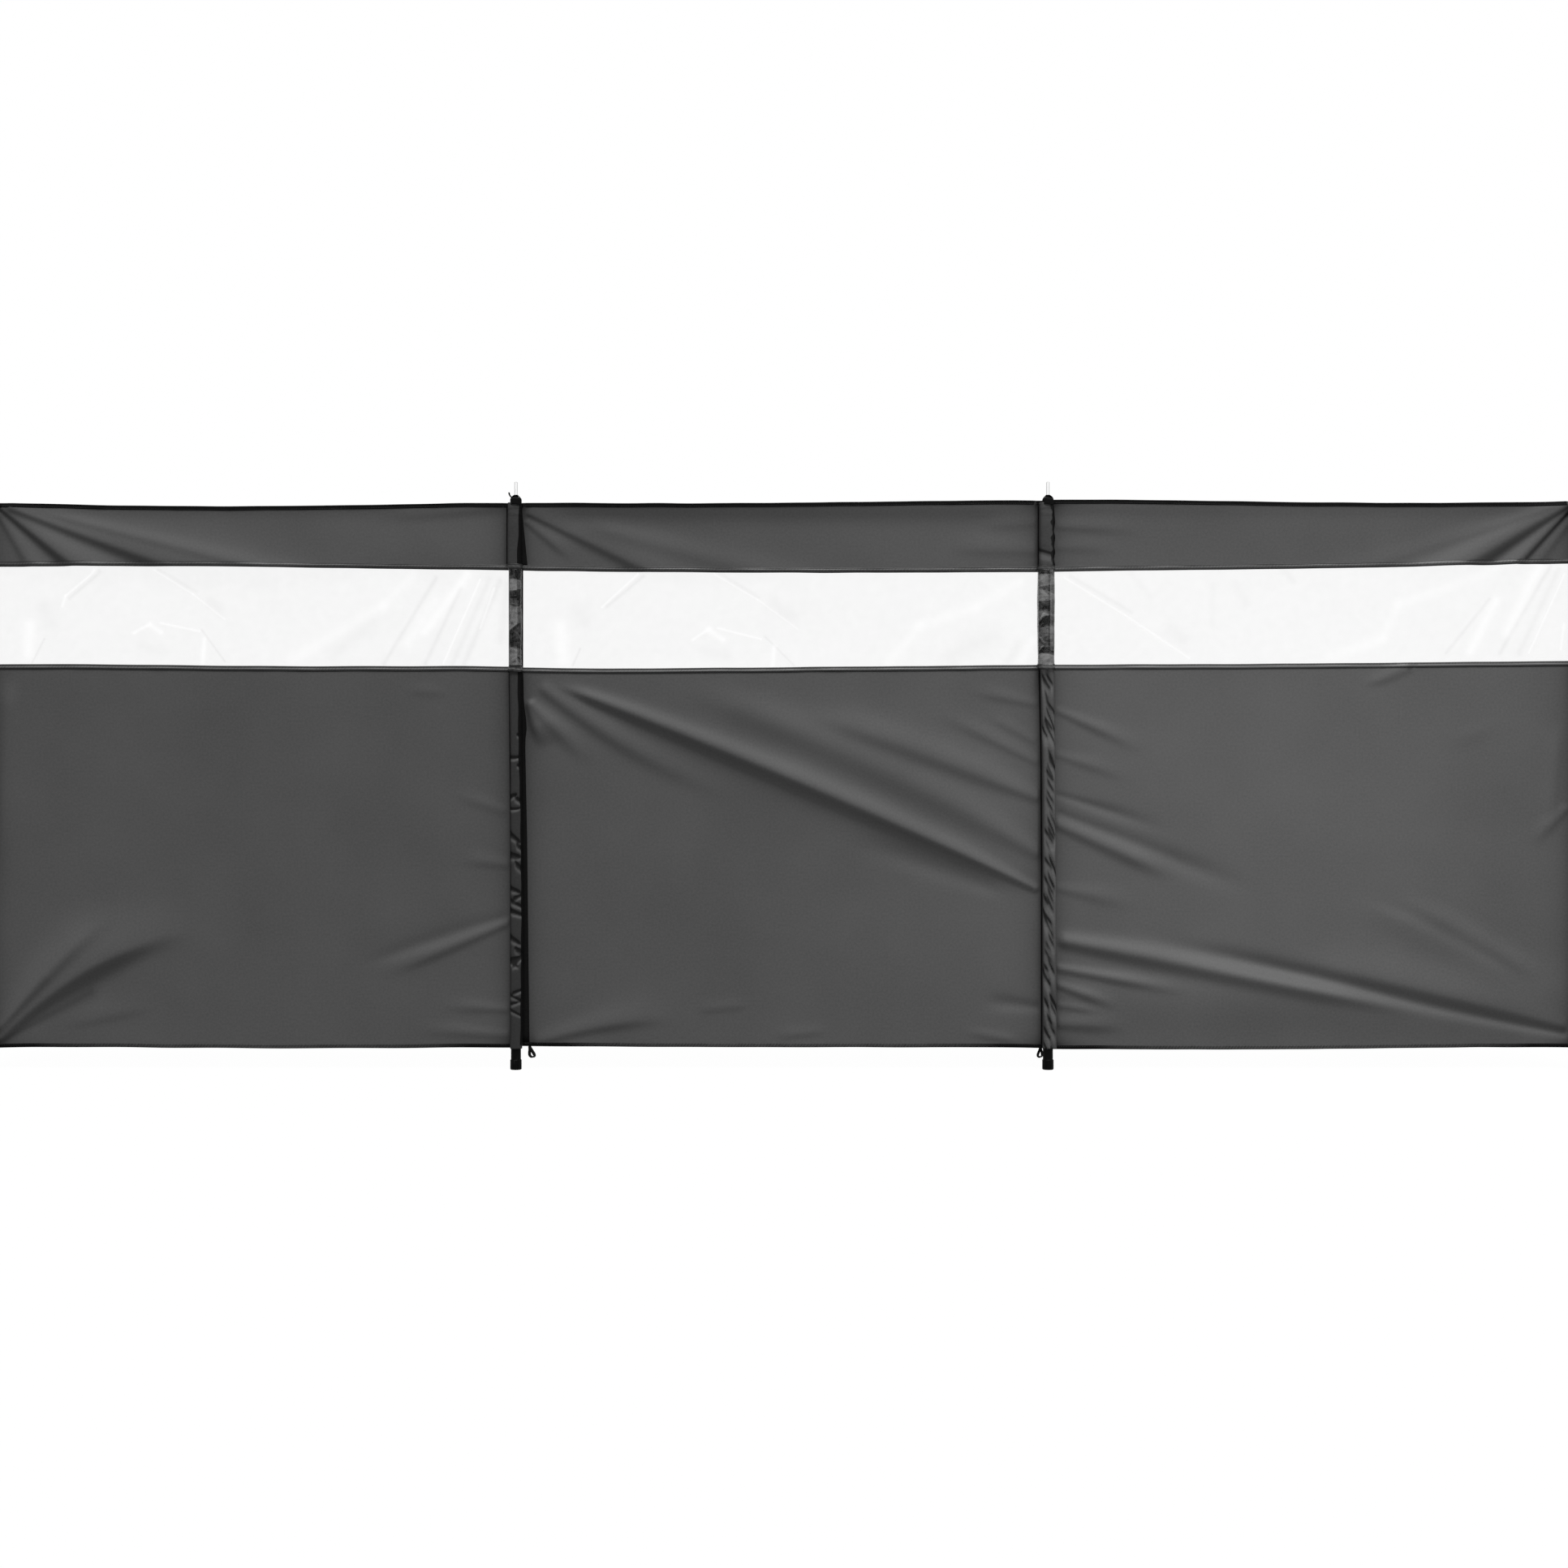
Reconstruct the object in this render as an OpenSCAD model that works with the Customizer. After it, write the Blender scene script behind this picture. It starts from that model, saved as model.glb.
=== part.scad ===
// Windbreak of cloth bays with a clear window strip, held up by poles in sewn sleeves.
// X runs along the bays, Z is up, and the sleeves are on the -Y side of the cloth.
// The origin is the middle of the first pole's foot, on the ground.

/* [Windbreak] */
// Number of bays between poles
bays = 3; // [1:1:5]
// Distance from one pole to the next
bay_pitch = 1360; // [900:10:1700]
// Height of the cloth between its lower and upper edges
cloth_h = 1400; // [1100:10:1700]
// Height of the cloth's lower edge above the ground
ground_gap = 54; // [44:1:80]

/* [Cloth and window] */
// Height of the cloth strip above the window
upper_h = 163; // [100:1:260]
// Height of the clear film that shows
window_h = 245; // [150:5:350]
// Thickness of the coated cloth
cloth_t = 0.8; // [0.6:0.1:1.2]
// Thickness of the clear film
film_t = 0.5; // [0.3:0.1:0.6]
// Gap in the cloth where two bays meet behind a pole
seam_gap = 0.4; // [0.2:0.1:0.8]

/* [Tapes] */
// Thickness of a binding tape's layer
tape_t = 0.8; // [0.5:0.1:1.2]
// Height of the tape along the upper edge
top_hem_h = 11; // [8:1:20]
// Height of the tape along the lower edge
bottom_hem_h = 10; // [8:1:20]
// Height of each tape along the window
binding_h = 14; // [10:1:22]
// Width of the tape on a seam, behind a sleeve
seam_tape_w = 34; // [28:1:44]

/* [Poles] */
// Outer diameter of the steel tube
pole_d = 22; // [18:1:26]
// Wall of the steel tube
pole_wall = 1; // [0.8:0.1:1.5]
// Diameter of the spigot on top of a pole
spigot_d = 8; // [6:0.5:9]
// Length of the spigot that stands free, without its chamfer
spigot_l = 32; // [20:1:60]
// Chamfer of the spigot's tip
spigot_chamfer = 1.5; // [0.5:0.1:2]

/* [Pole caps] */
// Diameter of the boss that carries the spigot
boss_d = 12; // [11:0.5:13]
// Height of the cap's collar on the tube's end
collar_h = 5; // [3:0.5:7]
// Length of the cap's plug inside the tube
plug_l = 20; // [10:1:30]

/* [Feet] */
// Diameter of a foot's base
foot_d = 29; // [28:0.5:34]
// Height of a foot's base
foot_h = 26; // [20:1:32]
// Outer diameter of the socket that takes the tube
socket_d = 25.5; // [25:0.5:28]
// Thickness of the foot under the tube
foot_floor = 16; // [8:1:20]
// Chamfer round the foot's lower edge
foot_chamfer = 1.5; // [0.5:0.1:3]
// Number of grip grooves round the foot
foot_grooves = 8; // [6:1:12]
// Diameter of a grip groove
groove_d = 3; // [2:0.5:4]

/* [Sleeves and straps] */
// Thickness of the sleeve's cloth
sleeve_t = 0.8; // [0.6:0.1:1.2]
// Room between the tube and the sleeve, all round
sleeve_room = 0.3; // [0.2:0.1:0.6]
// Width of the sleeve's sewn edge, flat on the seam tape
sleeve_flange_w = 30; // [26:1:34]
// Thickness of the strap over a pole's top
strap_t = 1.5; // [1:0.1:2.5]
// Width of the strap, front to back
strap_w = 16; // [14:1:18]
// Length of the strap's legs below the cloth's upper edge
strap_leg = 12; // [8:1:30]

/* [Peg loops] */
// Clear width inside a peg loop
loop_gap = 12; // [9:1:14]
// Thickness of the loop's webbing
loop_t = 1.6; // [1:0.1:2.5]
// Width of the loop's webbing, front to back
loop_w = 10; // [6:1:14]
// Distance that a loop hangs below the cloth
loop_drop = 25; // [20:1:34]
// Distance from a pole's axis to its loop
loop_offset = 25; // [25:1:60]

/* [Hidden] */
$fn = 64;
// Small clearance between pieces that are pushed together
slip = 0.1;
// Clearance round the boss in the strap's eyelet
eyelet_room = 0.3;
// Height of the boss above the strap
boss_stand = 0.5;
// Overshoot of a cutting solid
cut = 1;
poles = bays + 1;

// Places front to back, from the pole's axis to the cloth behind it
sleeve_inner_r = pole_d / 2 + sleeve_room;
sleeve_outer_r = sleeve_inner_r + sleeve_t;
strap_inner_r = sleeve_outer_r + eyelet_room;
flange_back_y = sleeve_outer_r + sleeve_t / 4;
cloth_front_y = flange_back_y + tape_t;
cloth_mid_y = cloth_front_y + cloth_t / 2;
tape_stack_t = cloth_t + 2 * tape_t;

// Levels above the ground
cloth_bottom_z = ground_gap;
cloth_top_z = ground_gap + cloth_h;
window_top_z = cloth_top_z - upper_h - binding_h;
window_bottom_z = window_top_z - window_h;
lower_top_z = window_bottom_z - binding_h;
upper_bottom_z = window_top_z + binding_h;
tube_bottom_z = foot_floor;
tube_top_z = cloth_top_z - collar_h;
boss_top_z = cloth_top_z + strap_inner_r + strap_t + boss_stand;

// A binding's core, between the edges of the two sheets that it holds
binding_core_h = 1;
binding_slot_h = (binding_h - binding_core_h) / 2;

cloth_grey = [0.31, 0.31, 0.31];
tape_black = [0.08, 0.08, 0.08];
tape_grey = [0.36, 0.36, 0.36];
film_clear = [0.94, 0.95, 0.96, 0.35];
steel = [0.78, 0.78, 0.78];
plastic_black = [0.1, 0.1, 0.1];

pole_numbers = [1 : poles];
bay_numbers = [1 : bays];

function pole_x(k) = (k - 1) * bay_pitch;

// A sheet ends at the seam behind a pole, and at an end pole it runs on under the whole sleeve.
function sheet_start(b) = b == 1 ? -seam_tape_w / 2 : pole_x(b) + seam_gap / 2;
function sheet_end(b) = b == bays ? pole_x(poles) + seam_tape_w / 2 : pole_x(b + 1) - seam_gap / 2;

// The loops hang on the side of their pole that faces the middle of the run.
function loop_x(k) = pole_x(k) + (k <= poles / 2 ? loop_offset : -loop_offset);

// Steel tube, open at both ends
module pole_tube(k) {
    color(steel)
        translate([pole_x(k), 0, tube_bottom_z])
            linear_extrude(tube_top_z - tube_bottom_z)
                difference() {
                    circle(d = pole_d);
                    circle(d = pole_d - 2 * pole_wall);
                }
}

// Moulded foot: a grooved base and a socket round the tube's lower end
module pole_foot(k) {
    socket_top_z = cloth_bottom_z - eyelet_room;
    color(plastic_black)
        translate([pole_x(k), 0, 0])
            difference() {
                rotate_extrude()
                    polygon([
                        [0, 0],
                        [foot_d / 2 - foot_chamfer, 0],
                        [foot_d / 2, foot_chamfer],
                        [foot_d / 2, foot_h - foot_chamfer],
                        [foot_d / 2 - foot_chamfer, foot_h],
                        [socket_d / 2, foot_h],
                        [socket_d / 2, socket_top_z],
                        [pole_d / 2 + slip, socket_top_z],
                        [pole_d / 2 + slip, foot_floor],
                        [0, foot_floor]
                    ]);
                for (i = [1 : foot_grooves])
                    rotate((i - 0.5) * 360 / foot_grooves)
                        translate([foot_d / 2 + groove_d / 6, 0, -cut])
                            cylinder(d = groove_d, h = foot_h / 2 + cut);
            }
}

// Moulded cap: a plug in the tube, a collar on its end, a cone and the boss of the spigot
module pole_cap(k) {
    plug_r = pole_d / 2 - pole_wall - slip;
    cone_top_z = cloth_top_z + strap_inner_r / 2;
    color(plastic_black)
        translate([pole_x(k), 0, 0])
            rotate_extrude()
                polygon([
                    [spigot_d / 4 + slip, tube_top_z - plug_l],
                    [plug_r, tube_top_z - plug_l],
                    [plug_r, tube_top_z],
                    [pole_d / 2, tube_top_z],
                    [pole_d / 2, tube_top_z + collar_h],
                    [boss_d / 2, cone_top_z],
                    [boss_d / 2, boss_top_z],
                    [spigot_d / 4 + slip, boss_top_z]
                ]);
}

// Steel spigot: a shank in the cap and a free pin with a chamfered tip
module spigot(k) {
    color(steel)
        translate([pole_x(k), 0, 0])
            rotate_extrude()
                polygon([
                    [0, tube_top_z - plug_l],
                    [spigot_d / 4, tube_top_z - plug_l],
                    [spigot_d / 4, boss_top_z],
                    [spigot_d / 2, boss_top_z],
                    [spigot_d / 2, boss_top_z + spigot_l],
                    [spigot_d / 2 - spigot_chamfer, boss_top_z + spigot_l + spigot_chamfer],
                    [0, boss_top_z + spigot_l + spigot_chamfer]
                ]);
}

// Outside of a sleeve, grown by a layer: round the tube, with a flat edge each side, flush at the back
module sleeve_outline(layer, edge_w) {
    intersection() {
        union() {
            circle(r = sleeve_outer_r + layer);
            translate([-edge_w / 2, flange_back_y - sleeve_t - layer])
                square([edge_w, sleeve_t + layer]);
        }
        translate([-edge_w, flange_back_y - 2 * edge_w])
            square([2 * edge_w, 2 * edge_w]);
    }
}

// Cloth sleeve: a pocket for the tube and a flat edge each side that is sewn to the seam tape
module sleeve(k) {
    color(cloth_grey)
        translate([pole_x(k), 0, cloth_bottom_z])
            linear_extrude(cloth_h - top_hem_h / 2)
                difference() {
                    sleeve_outline(0, sleeve_flange_w);
                    circle(r = sleeve_inner_r);
                }
}

// The film of the windows where it is laid round the sleeves
module window_sleeves() {
    color(film_clear)
        for (k = pole_numbers)
            translate([pole_x(k), 0, window_bottom_z])
                linear_extrude(window_h)
                    difference() {
                        sleeve_outline(slip + film_t, sleeve_flange_w);
                        sleeve_outline(slip, sleeve_flange_w + 2 * cut);
                    }
}

// Webbing strap over the pole's top: two legs beside the sleeve, an arch and an eyelet for the boss
module top_strap(k) {
    outer_r = strap_inner_r + strap_t;
    color(tape_black)
        translate([pole_x(k), 0, cloth_top_z])
            difference() {
                rotate([90, 0, 0])
                    translate([0, 0, -strap_w / 2])
                        linear_extrude(strap_w)
                            strap_outline(strap_inner_r, outer_r, strap_leg);
                cylinder(d = boss_d + 2 * eyelet_room, h = 2 * outer_r);
            }
}

// An arch with straight legs, its round end upwards
module strap_outline(inner_r, outer_r, leg) {
    difference() {
        union() {
            circle(r = outer_r);
            translate([-outer_r, -leg])
                square([2 * outer_r, leg]);
        }
        circle(r = inner_r);
        translate([-inner_r, -leg - cut])
            square([2 * inner_r, leg + cut]);
        translate([-outer_r - cut, -leg - outer_r - cut])
            square([2 * outer_r + 2 * cut, outer_r + cut]);
    }
}

// Webbing loop for a peg, hanging from the lower tape
module peg_loop(k) {
    inner_r = loop_gap / 2;
    outer_r = inner_r + loop_t;
    color(tape_black)
        translate([loop_x(k), cloth_mid_y, cloth_bottom_z - loop_drop + outer_r])
            rotate([-90, 0, 0])
                translate([0, 0, -loop_w / 2])
                    linear_extrude(loop_w)
                        strap_outline(inner_r, outer_r, loop_drop - outer_r);
}

// A sheet of one bay, from level low_z to level high_z
module sheet(b, thickness, low_z, high_z) {
    translate([sheet_start(b), cloth_mid_y - thickness / 2, low_z])
        cube([sheet_end(b) - sheet_start(b), thickness, high_z - low_z]);
}

// Cloth below the window, with its edges inside the tapes
module lower_panel(b) {
    color(cloth_grey)
        sheet(b, cloth_t, cloth_bottom_z + tape_t, lower_top_z + binding_slot_h);
}

// Clear film, with its edges inside the two window tapes
module window(b) {
    color(film_clear)
        sheet(b, film_t, window_bottom_z - binding_slot_h, window_top_z + binding_slot_h);
}

// Cloth above the window
module upper_panel(b) {
    color(cloth_grey)
        sheet(b, cloth_t, upper_bottom_z - binding_slot_h, cloth_top_z - tape_t);
}

// A tape along every bay at one level. Its section has a slot from below, from above or both.
module tape_row(low_z, height, below_t, below_h, above_t, above_h) {
    for (b = bay_numbers)
        translate([sheet_start(b), cloth_mid_y, low_z])
            rotate([90, 0, 90])
                linear_extrude(sheet_end(b) - sheet_start(b))
                    difference() {
                        translate([-tape_stack_t / 2, 0])
                            square([tape_stack_t, height]);
                        translate([-below_t / 2, -cut])
                            square([below_t, below_h + cut]);
                        translate([-above_t / 2, height - above_h])
                            square([above_t, above_h + cut]);
                    }
}

// Tape folded over the upper edge
module top_hem() {
    color(tape_black)
        tape_row(cloth_top_z - top_hem_h, top_hem_h, cloth_t, top_hem_h - tape_t, cloth_t, 0);
}

// The stretches of a window tape that run over the sleeves and meet the tape's row beside them
module tape_bands(low_z) {
    for (k = pole_numbers)
        translate([pole_x(k), 0, low_z])
            linear_extrude(binding_h)
                difference() {
                    sleeve_outline(slip + tape_t, seam_tape_w);
                    sleeve_outline(slip, sleeve_flange_w + 2 * slip);
                }
}

// Tape that holds the cloth above and the film below
module window_top_binding() {
    color(tape_grey) {
        tape_row(window_top_z, binding_h, film_t, binding_slot_h, cloth_t, binding_slot_h);
        tape_bands(window_top_z);
    }
}

// Tape that holds the film above and the cloth below
module window_bottom_binding() {
    color(tape_grey) {
        tape_row(lower_top_z, binding_h, cloth_t, binding_slot_h, film_t, binding_slot_h);
        tape_bands(lower_top_z);
    }
}

// Tape folded over the lower edge
module bottom_hem() {
    color(tape_black)
        tape_row(cloth_bottom_z, bottom_hem_h, cloth_t, 0, cloth_t, bottom_hem_h - tape_t);
}

// Tape over each seam, in three lengths that end at the tapes along the bays
module seam_tapes() {
    stretches = [
        [cloth_bottom_z + bottom_hem_h, lower_top_z],
        [window_bottom_z, window_top_z],
        [upper_bottom_z, cloth_top_z - top_hem_h]
    ];
    color(tape_black)
        for (k = pole_numbers, levels = stretches)
            translate([pole_x(k) - seam_tape_w / 2, flange_back_y, levels[0]])
                cube([seam_tape_w, tape_t, levels[1] - levels[0]]);
}

for (k = pole_numbers) {
    pole_tube(k);
    pole_foot(k);
    pole_cap(k);
    spigot(k);
    sleeve(k);
    top_strap(k);
    peg_loop(k);
}
for (b = bay_numbers) {
    lower_panel(b);
    window(b);
    upper_panel(b);
}
window_sleeves();
seam_tapes();
top_hem();
window_top_binding();
window_bottom_binding();
bottom_hem();
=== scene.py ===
# %% [markdown]
# # A cloth windbreak with a window strip
# Three bays of dark grey cloth hang between four poles. A strip of clear film runs through all bays,
# black and grey tapes bind the edges, and each pole stands in a crumpled sleeve.
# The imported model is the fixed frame: poles, feet, caps and spigots keep its meshes. Everything that
# is cloth, film or webbing is worked out here as a surface and takes the place of its plain solid.

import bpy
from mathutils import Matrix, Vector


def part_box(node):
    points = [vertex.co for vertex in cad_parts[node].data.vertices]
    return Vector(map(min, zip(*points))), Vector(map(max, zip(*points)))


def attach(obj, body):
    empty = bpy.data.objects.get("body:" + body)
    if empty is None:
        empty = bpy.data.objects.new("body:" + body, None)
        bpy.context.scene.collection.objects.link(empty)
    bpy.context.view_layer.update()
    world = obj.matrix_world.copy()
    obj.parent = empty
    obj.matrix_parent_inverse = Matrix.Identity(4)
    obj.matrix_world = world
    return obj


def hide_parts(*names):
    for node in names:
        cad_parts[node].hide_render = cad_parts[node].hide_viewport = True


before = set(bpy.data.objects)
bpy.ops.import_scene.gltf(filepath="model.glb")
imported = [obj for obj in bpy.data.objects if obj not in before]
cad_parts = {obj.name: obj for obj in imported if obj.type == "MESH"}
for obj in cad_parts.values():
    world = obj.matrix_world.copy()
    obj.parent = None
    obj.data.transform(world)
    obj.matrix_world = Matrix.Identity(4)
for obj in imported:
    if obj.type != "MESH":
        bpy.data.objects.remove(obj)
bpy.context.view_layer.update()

# %% Libraries and the unit
import math
from collections import namedtuple

import bpy
import numpy as np

MM = 0.001

# %% [markdown]
# ## Measures
# Every level and place is read from the frame, so the cloth always meets its poles and tapes.
# Typing the numbers again would work once, and then fail as soon as the model changes.

# %% Levels and places of the frame
pole_count = sum(name.startswith("pole_tube_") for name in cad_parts)
pole_x = [sum(corner.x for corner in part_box(f"pole_tube_{k + 1}")) / 2 for k in range(pole_count)]
bay_count = pole_count - 1
pitch = pole_x[1] - pole_x[0]
pole_r = (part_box("pole_tube_1")[1].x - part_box("pole_tube_1")[0].x) / 2
bottom_z, hem_top_z = (corner.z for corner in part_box("bottom_hem"))
lower_top_z, film_low_z = (corner.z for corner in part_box("window_bottom_binding"))
film_high_z, upper_low_z = (corner.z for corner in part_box("window_top_binding"))
top_hem_low_z, top_z = (corner.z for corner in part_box("top_hem"))
cloth_y = sum(corner.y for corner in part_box("lower_panel_1")) / 2
sleeve_back_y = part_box("sleeve_1")[1].y
tape_half_w = pole_x[0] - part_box("seam_tapes")[0].x
print("poles at", pole_x, "cloth plane y", cloth_y, "levels", bottom_z, lower_top_z, film_high_z, top_z)

# %% [markdown]
# ## Camera
# The photograph looks straight at the cloth from about half its height. The lens could be set by eye,
# but it follows from two lengths that can be measured: the distance, and the width that is seen.

# %% Camera
VIEW_CENTRE_X = 2045.3 * MM
VIEW_CENTRE_Z = 729.7 * MM
VIEW_WIDTH = 4018.6 * MM
VIEW_DISTANCE = 5.6
SENSOR = 36.0

camera = bpy.data.objects.new("camera", bpy.data.cameras.new("camera"))
camera.data.sensor_width = SENSOR
camera.data.lens = SENSOR * VIEW_DISTANCE / VIEW_WIDTH
camera.location = (VIEW_CENTRE_X, cloth_y - VIEW_DISTANCE, VIEW_CENTRE_Z)
camera.rotation_euler = (math.radians(90), 0, 0)
bpy.context.scene.collection.objects.link(camera)
bpy.context.scene.camera = camera
print("lens", round(camera.data.lens, 2), "mm")

# %% [markdown]
# ## From arrays to meshes
# Each surface is a grid of points: rows along one parameter, columns along the other. A patch holds
# such a grid with its UV grid in metres, and several patches can share one mesh, as the three
# lengths of a hem do. Sweeping with Blender's curve tools would hide the formula, and a Python loop
# over vertices would be slow.

# %% Patches and pieces
Patch = namedtuple("Patch", "points uv around cap", defaults=(False, False))
dressed = {}


def corners_of(grid):
    """The four corners of every cell of a grid [row, column, ...], in the order of a face."""
    return np.stack([grid[:-1, :-1], grid[:-1, 1:], grid[1:, 1:], grid[1:, :-1]], axis=2)


def mesh_of(name, patches, fields=None):
    """Joins the cells of each patch to quads. A patch that goes around closes each row into a ring,
    and its caps fill the first and the last ring."""
    vertices, faces, uvs, first = [], [], [], 0
    for patch in patches:
        rows, columns = patch.points.shape[:2]
        index = first + np.arange(rows * columns).reshape(rows, columns)
        ring = np.hstack([index, index[:, :1]]) if patch.around else index
        quads = corners_of(ring[:, :, None])[..., 0].reshape(-1, 4)
        faces += quads.tolist()
        uvs.append(corners_of(patch.uv).reshape(-1, 2))
        if patch.cap:
            faces += [index[0, ::-1].tolist(), index[-1].tolist()]
            uvs.append(np.vstack([patch.uv[0, :columns][::-1], patch.uv[-1, :columns]]))
        vertices.append(patch.points.reshape(-1, 3))
        first += rows * columns
    mesh = bpy.data.meshes.new(name)
    mesh.from_pydata(np.vstack(vertices), [], faces)
    mesh.uv_layers.new(name="metres").data.foreach_set("uv", np.vstack(uvs).astype(np.float32).ravel())
    for field, values in (fields or {}).items():
        layer = mesh.attributes.new(field, "FLOAT", "POINT")
        layer.data.foreach_set("value", values.astype(np.float32).ravel())
    mesh.shade_smooth()
    return mesh


def add_piece(name, patches, finish, replaced=(), thickness=0.0, fields=None, sharp=None):
    """A piece that rides on the frame, stands for the replaced nodes and has an even thickness."""
    mesh = mesh_of(name, patches, fields)
    if sharp:
        mesh.set_sharp_from_angle(angle=math.radians(sharp))
    piece = bpy.data.objects.new(name, mesh)
    bpy.context.scene.collection.objects.link(piece)
    if thickness:
        shell = piece.modifiers.new("thickness", "SOLIDIFY")
        shell.thickness = thickness
        shell.offset = 0
    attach(piece, "root")
    if replaced:
        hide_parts(*replaced)
    dressed[piece] = finish
    return piece


def smooth(t):
    """0 below 0, 1 above 1, and the S-shaped cubic between."""
    t = np.clip(t, 0, 1)
    return t * t * (3 - 2 * t)


# %% [markdown]
# ## Edges that sag
# No hem of the real thing is straight: the cloth pulls each tape a few millimetres up or down. The
# heights at five stations of a bay are enough, and one quartic passes through all five.

# %% Edge curves
EDGE_STATIONS = np.linspace(0, 1, 5)
TOP_EDGE = [(-4, -11, -13, -9, -4), (-4, -6, -5, -1, 2), (4, 2, -3, -4, 0)]
WINDOW_TOP_EDGE = [(8, 9, 7, 3, 0), (0, -5, -6.5, -6, -4), (-4, 1, 5, 11, 18)]
WINDOW_BOTTOM_EDGE = [(4, 4, 0.5, 0, -1), (-3, -6, -3, 0, 3.5), (3.5, 5, 7, 10, 14)]
BOTTOM_EDGE = [(-1, 1, -1.5, -1, 0), (4, 2, 1, 1, -1), (-4, -4.5, -3.5, 0, 0)]


def edge_curves(bays):
    """For each bay, the quartic through its five heights; 0 is the left pole and 1 the right one."""
    return [np.poly1d(np.polyfit(EDGE_STATIONS, np.array(heights) * MM, 4)) for heights in bays]


top_rise = edge_curves(TOP_EDGE)
film_high_rise = edge_curves(WINDOW_TOP_EDGE)
film_low_rise = edge_curves(WINDOW_BOTTOM_EDGE)
bottom_rise = edge_curves(BOTTOM_EDGE)
print("deepest sag of the upper edge:", min(min(bay) for bay in TOP_EDGE), "mm")

# %% [markdown]
# ## Folds
# Cloth that is pulled at its corners stands up in long ridges. A ridge has a broad side that catches
# the light from above and a steep side in shade. Cloth simulation gives such folds, but never at the
# places where the real ones are, so each ridge is placed by the line of its steep side.
# Two half bells with different widths make the ridge. They widen and narrow along the line, and a
# ridge with a negative height is a groove.

# %% The shape of one fold
Fold = namedtuple("Fold", "start end height above below bow spread fade",
                  defaults=(0, (1, 1), (0.15, 0.15)))
SHORTEST_WAVE = 0.35


def fold_frame(x, z, fold):
    """How far along the fold's line a point lies (0 to 1), and how far above the line, less its bow."""
    start, end = np.array(fold.start) * MM, np.array(fold.end) * MM
    run = end - start
    length = math.hypot(*run)
    along = ((x - start[0]) * run[0] + (z - start[1]) * run[1]) / length**2
    side = 1 if run[0] >= 0 else -1
    across = side * ((z - start[1]) * run[0] - (x - start[0]) * run[1]) / length
    held = np.clip(along, 0, 1)
    return along, across - 4 * fold.bow * MM * held * (1 - held)


def fold_relief(x, z, folds):
    """Sum of ridges: a bell whose width above its crest differs from the width below. The steepest
    point of the lower side lies on the fold's line. The spread scales the bell at evenly spaced
    stations of the line, and both ends fade out."""
    relief = np.zeros_like(x)
    for fold in folds:
        along, across = fold_frame(x, z, fold)
        spread = np.interp(along, np.linspace(0, 1, len(fold.spread)), fold.spread)
        below, above = fold.below * MM * spread, fold.above * MM * spread
        from_crest = across - below
        bell = np.exp(-0.5 * (from_crest / np.where(from_crest > 0, above, below)) ** 2)
        ends = smooth(along / fold.fade[0]) * smooth((1 - along) / fold.fade[1])
        relief += fold.height * MM * spread * bell * ends
    return relief


def slack(x, z, seed, height, longest, count=6):
    """Sum of a few plane waves with seeded directions, lengths and phases: cloth is never quite flat."""
    draw = np.random.default_rng(seed)
    total = np.zeros_like(x)
    for _ in range(count):
        turn, start = draw.uniform(0, 2 * math.pi, 2)
        length = longest * draw.uniform(SHORTEST_WAVE, 1)
        phase = 2 * math.pi * (x * math.cos(turn) + z * math.sin(turn)) / length
        total += np.sin(phase + start) * length / longest
    return height * total / count


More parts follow.
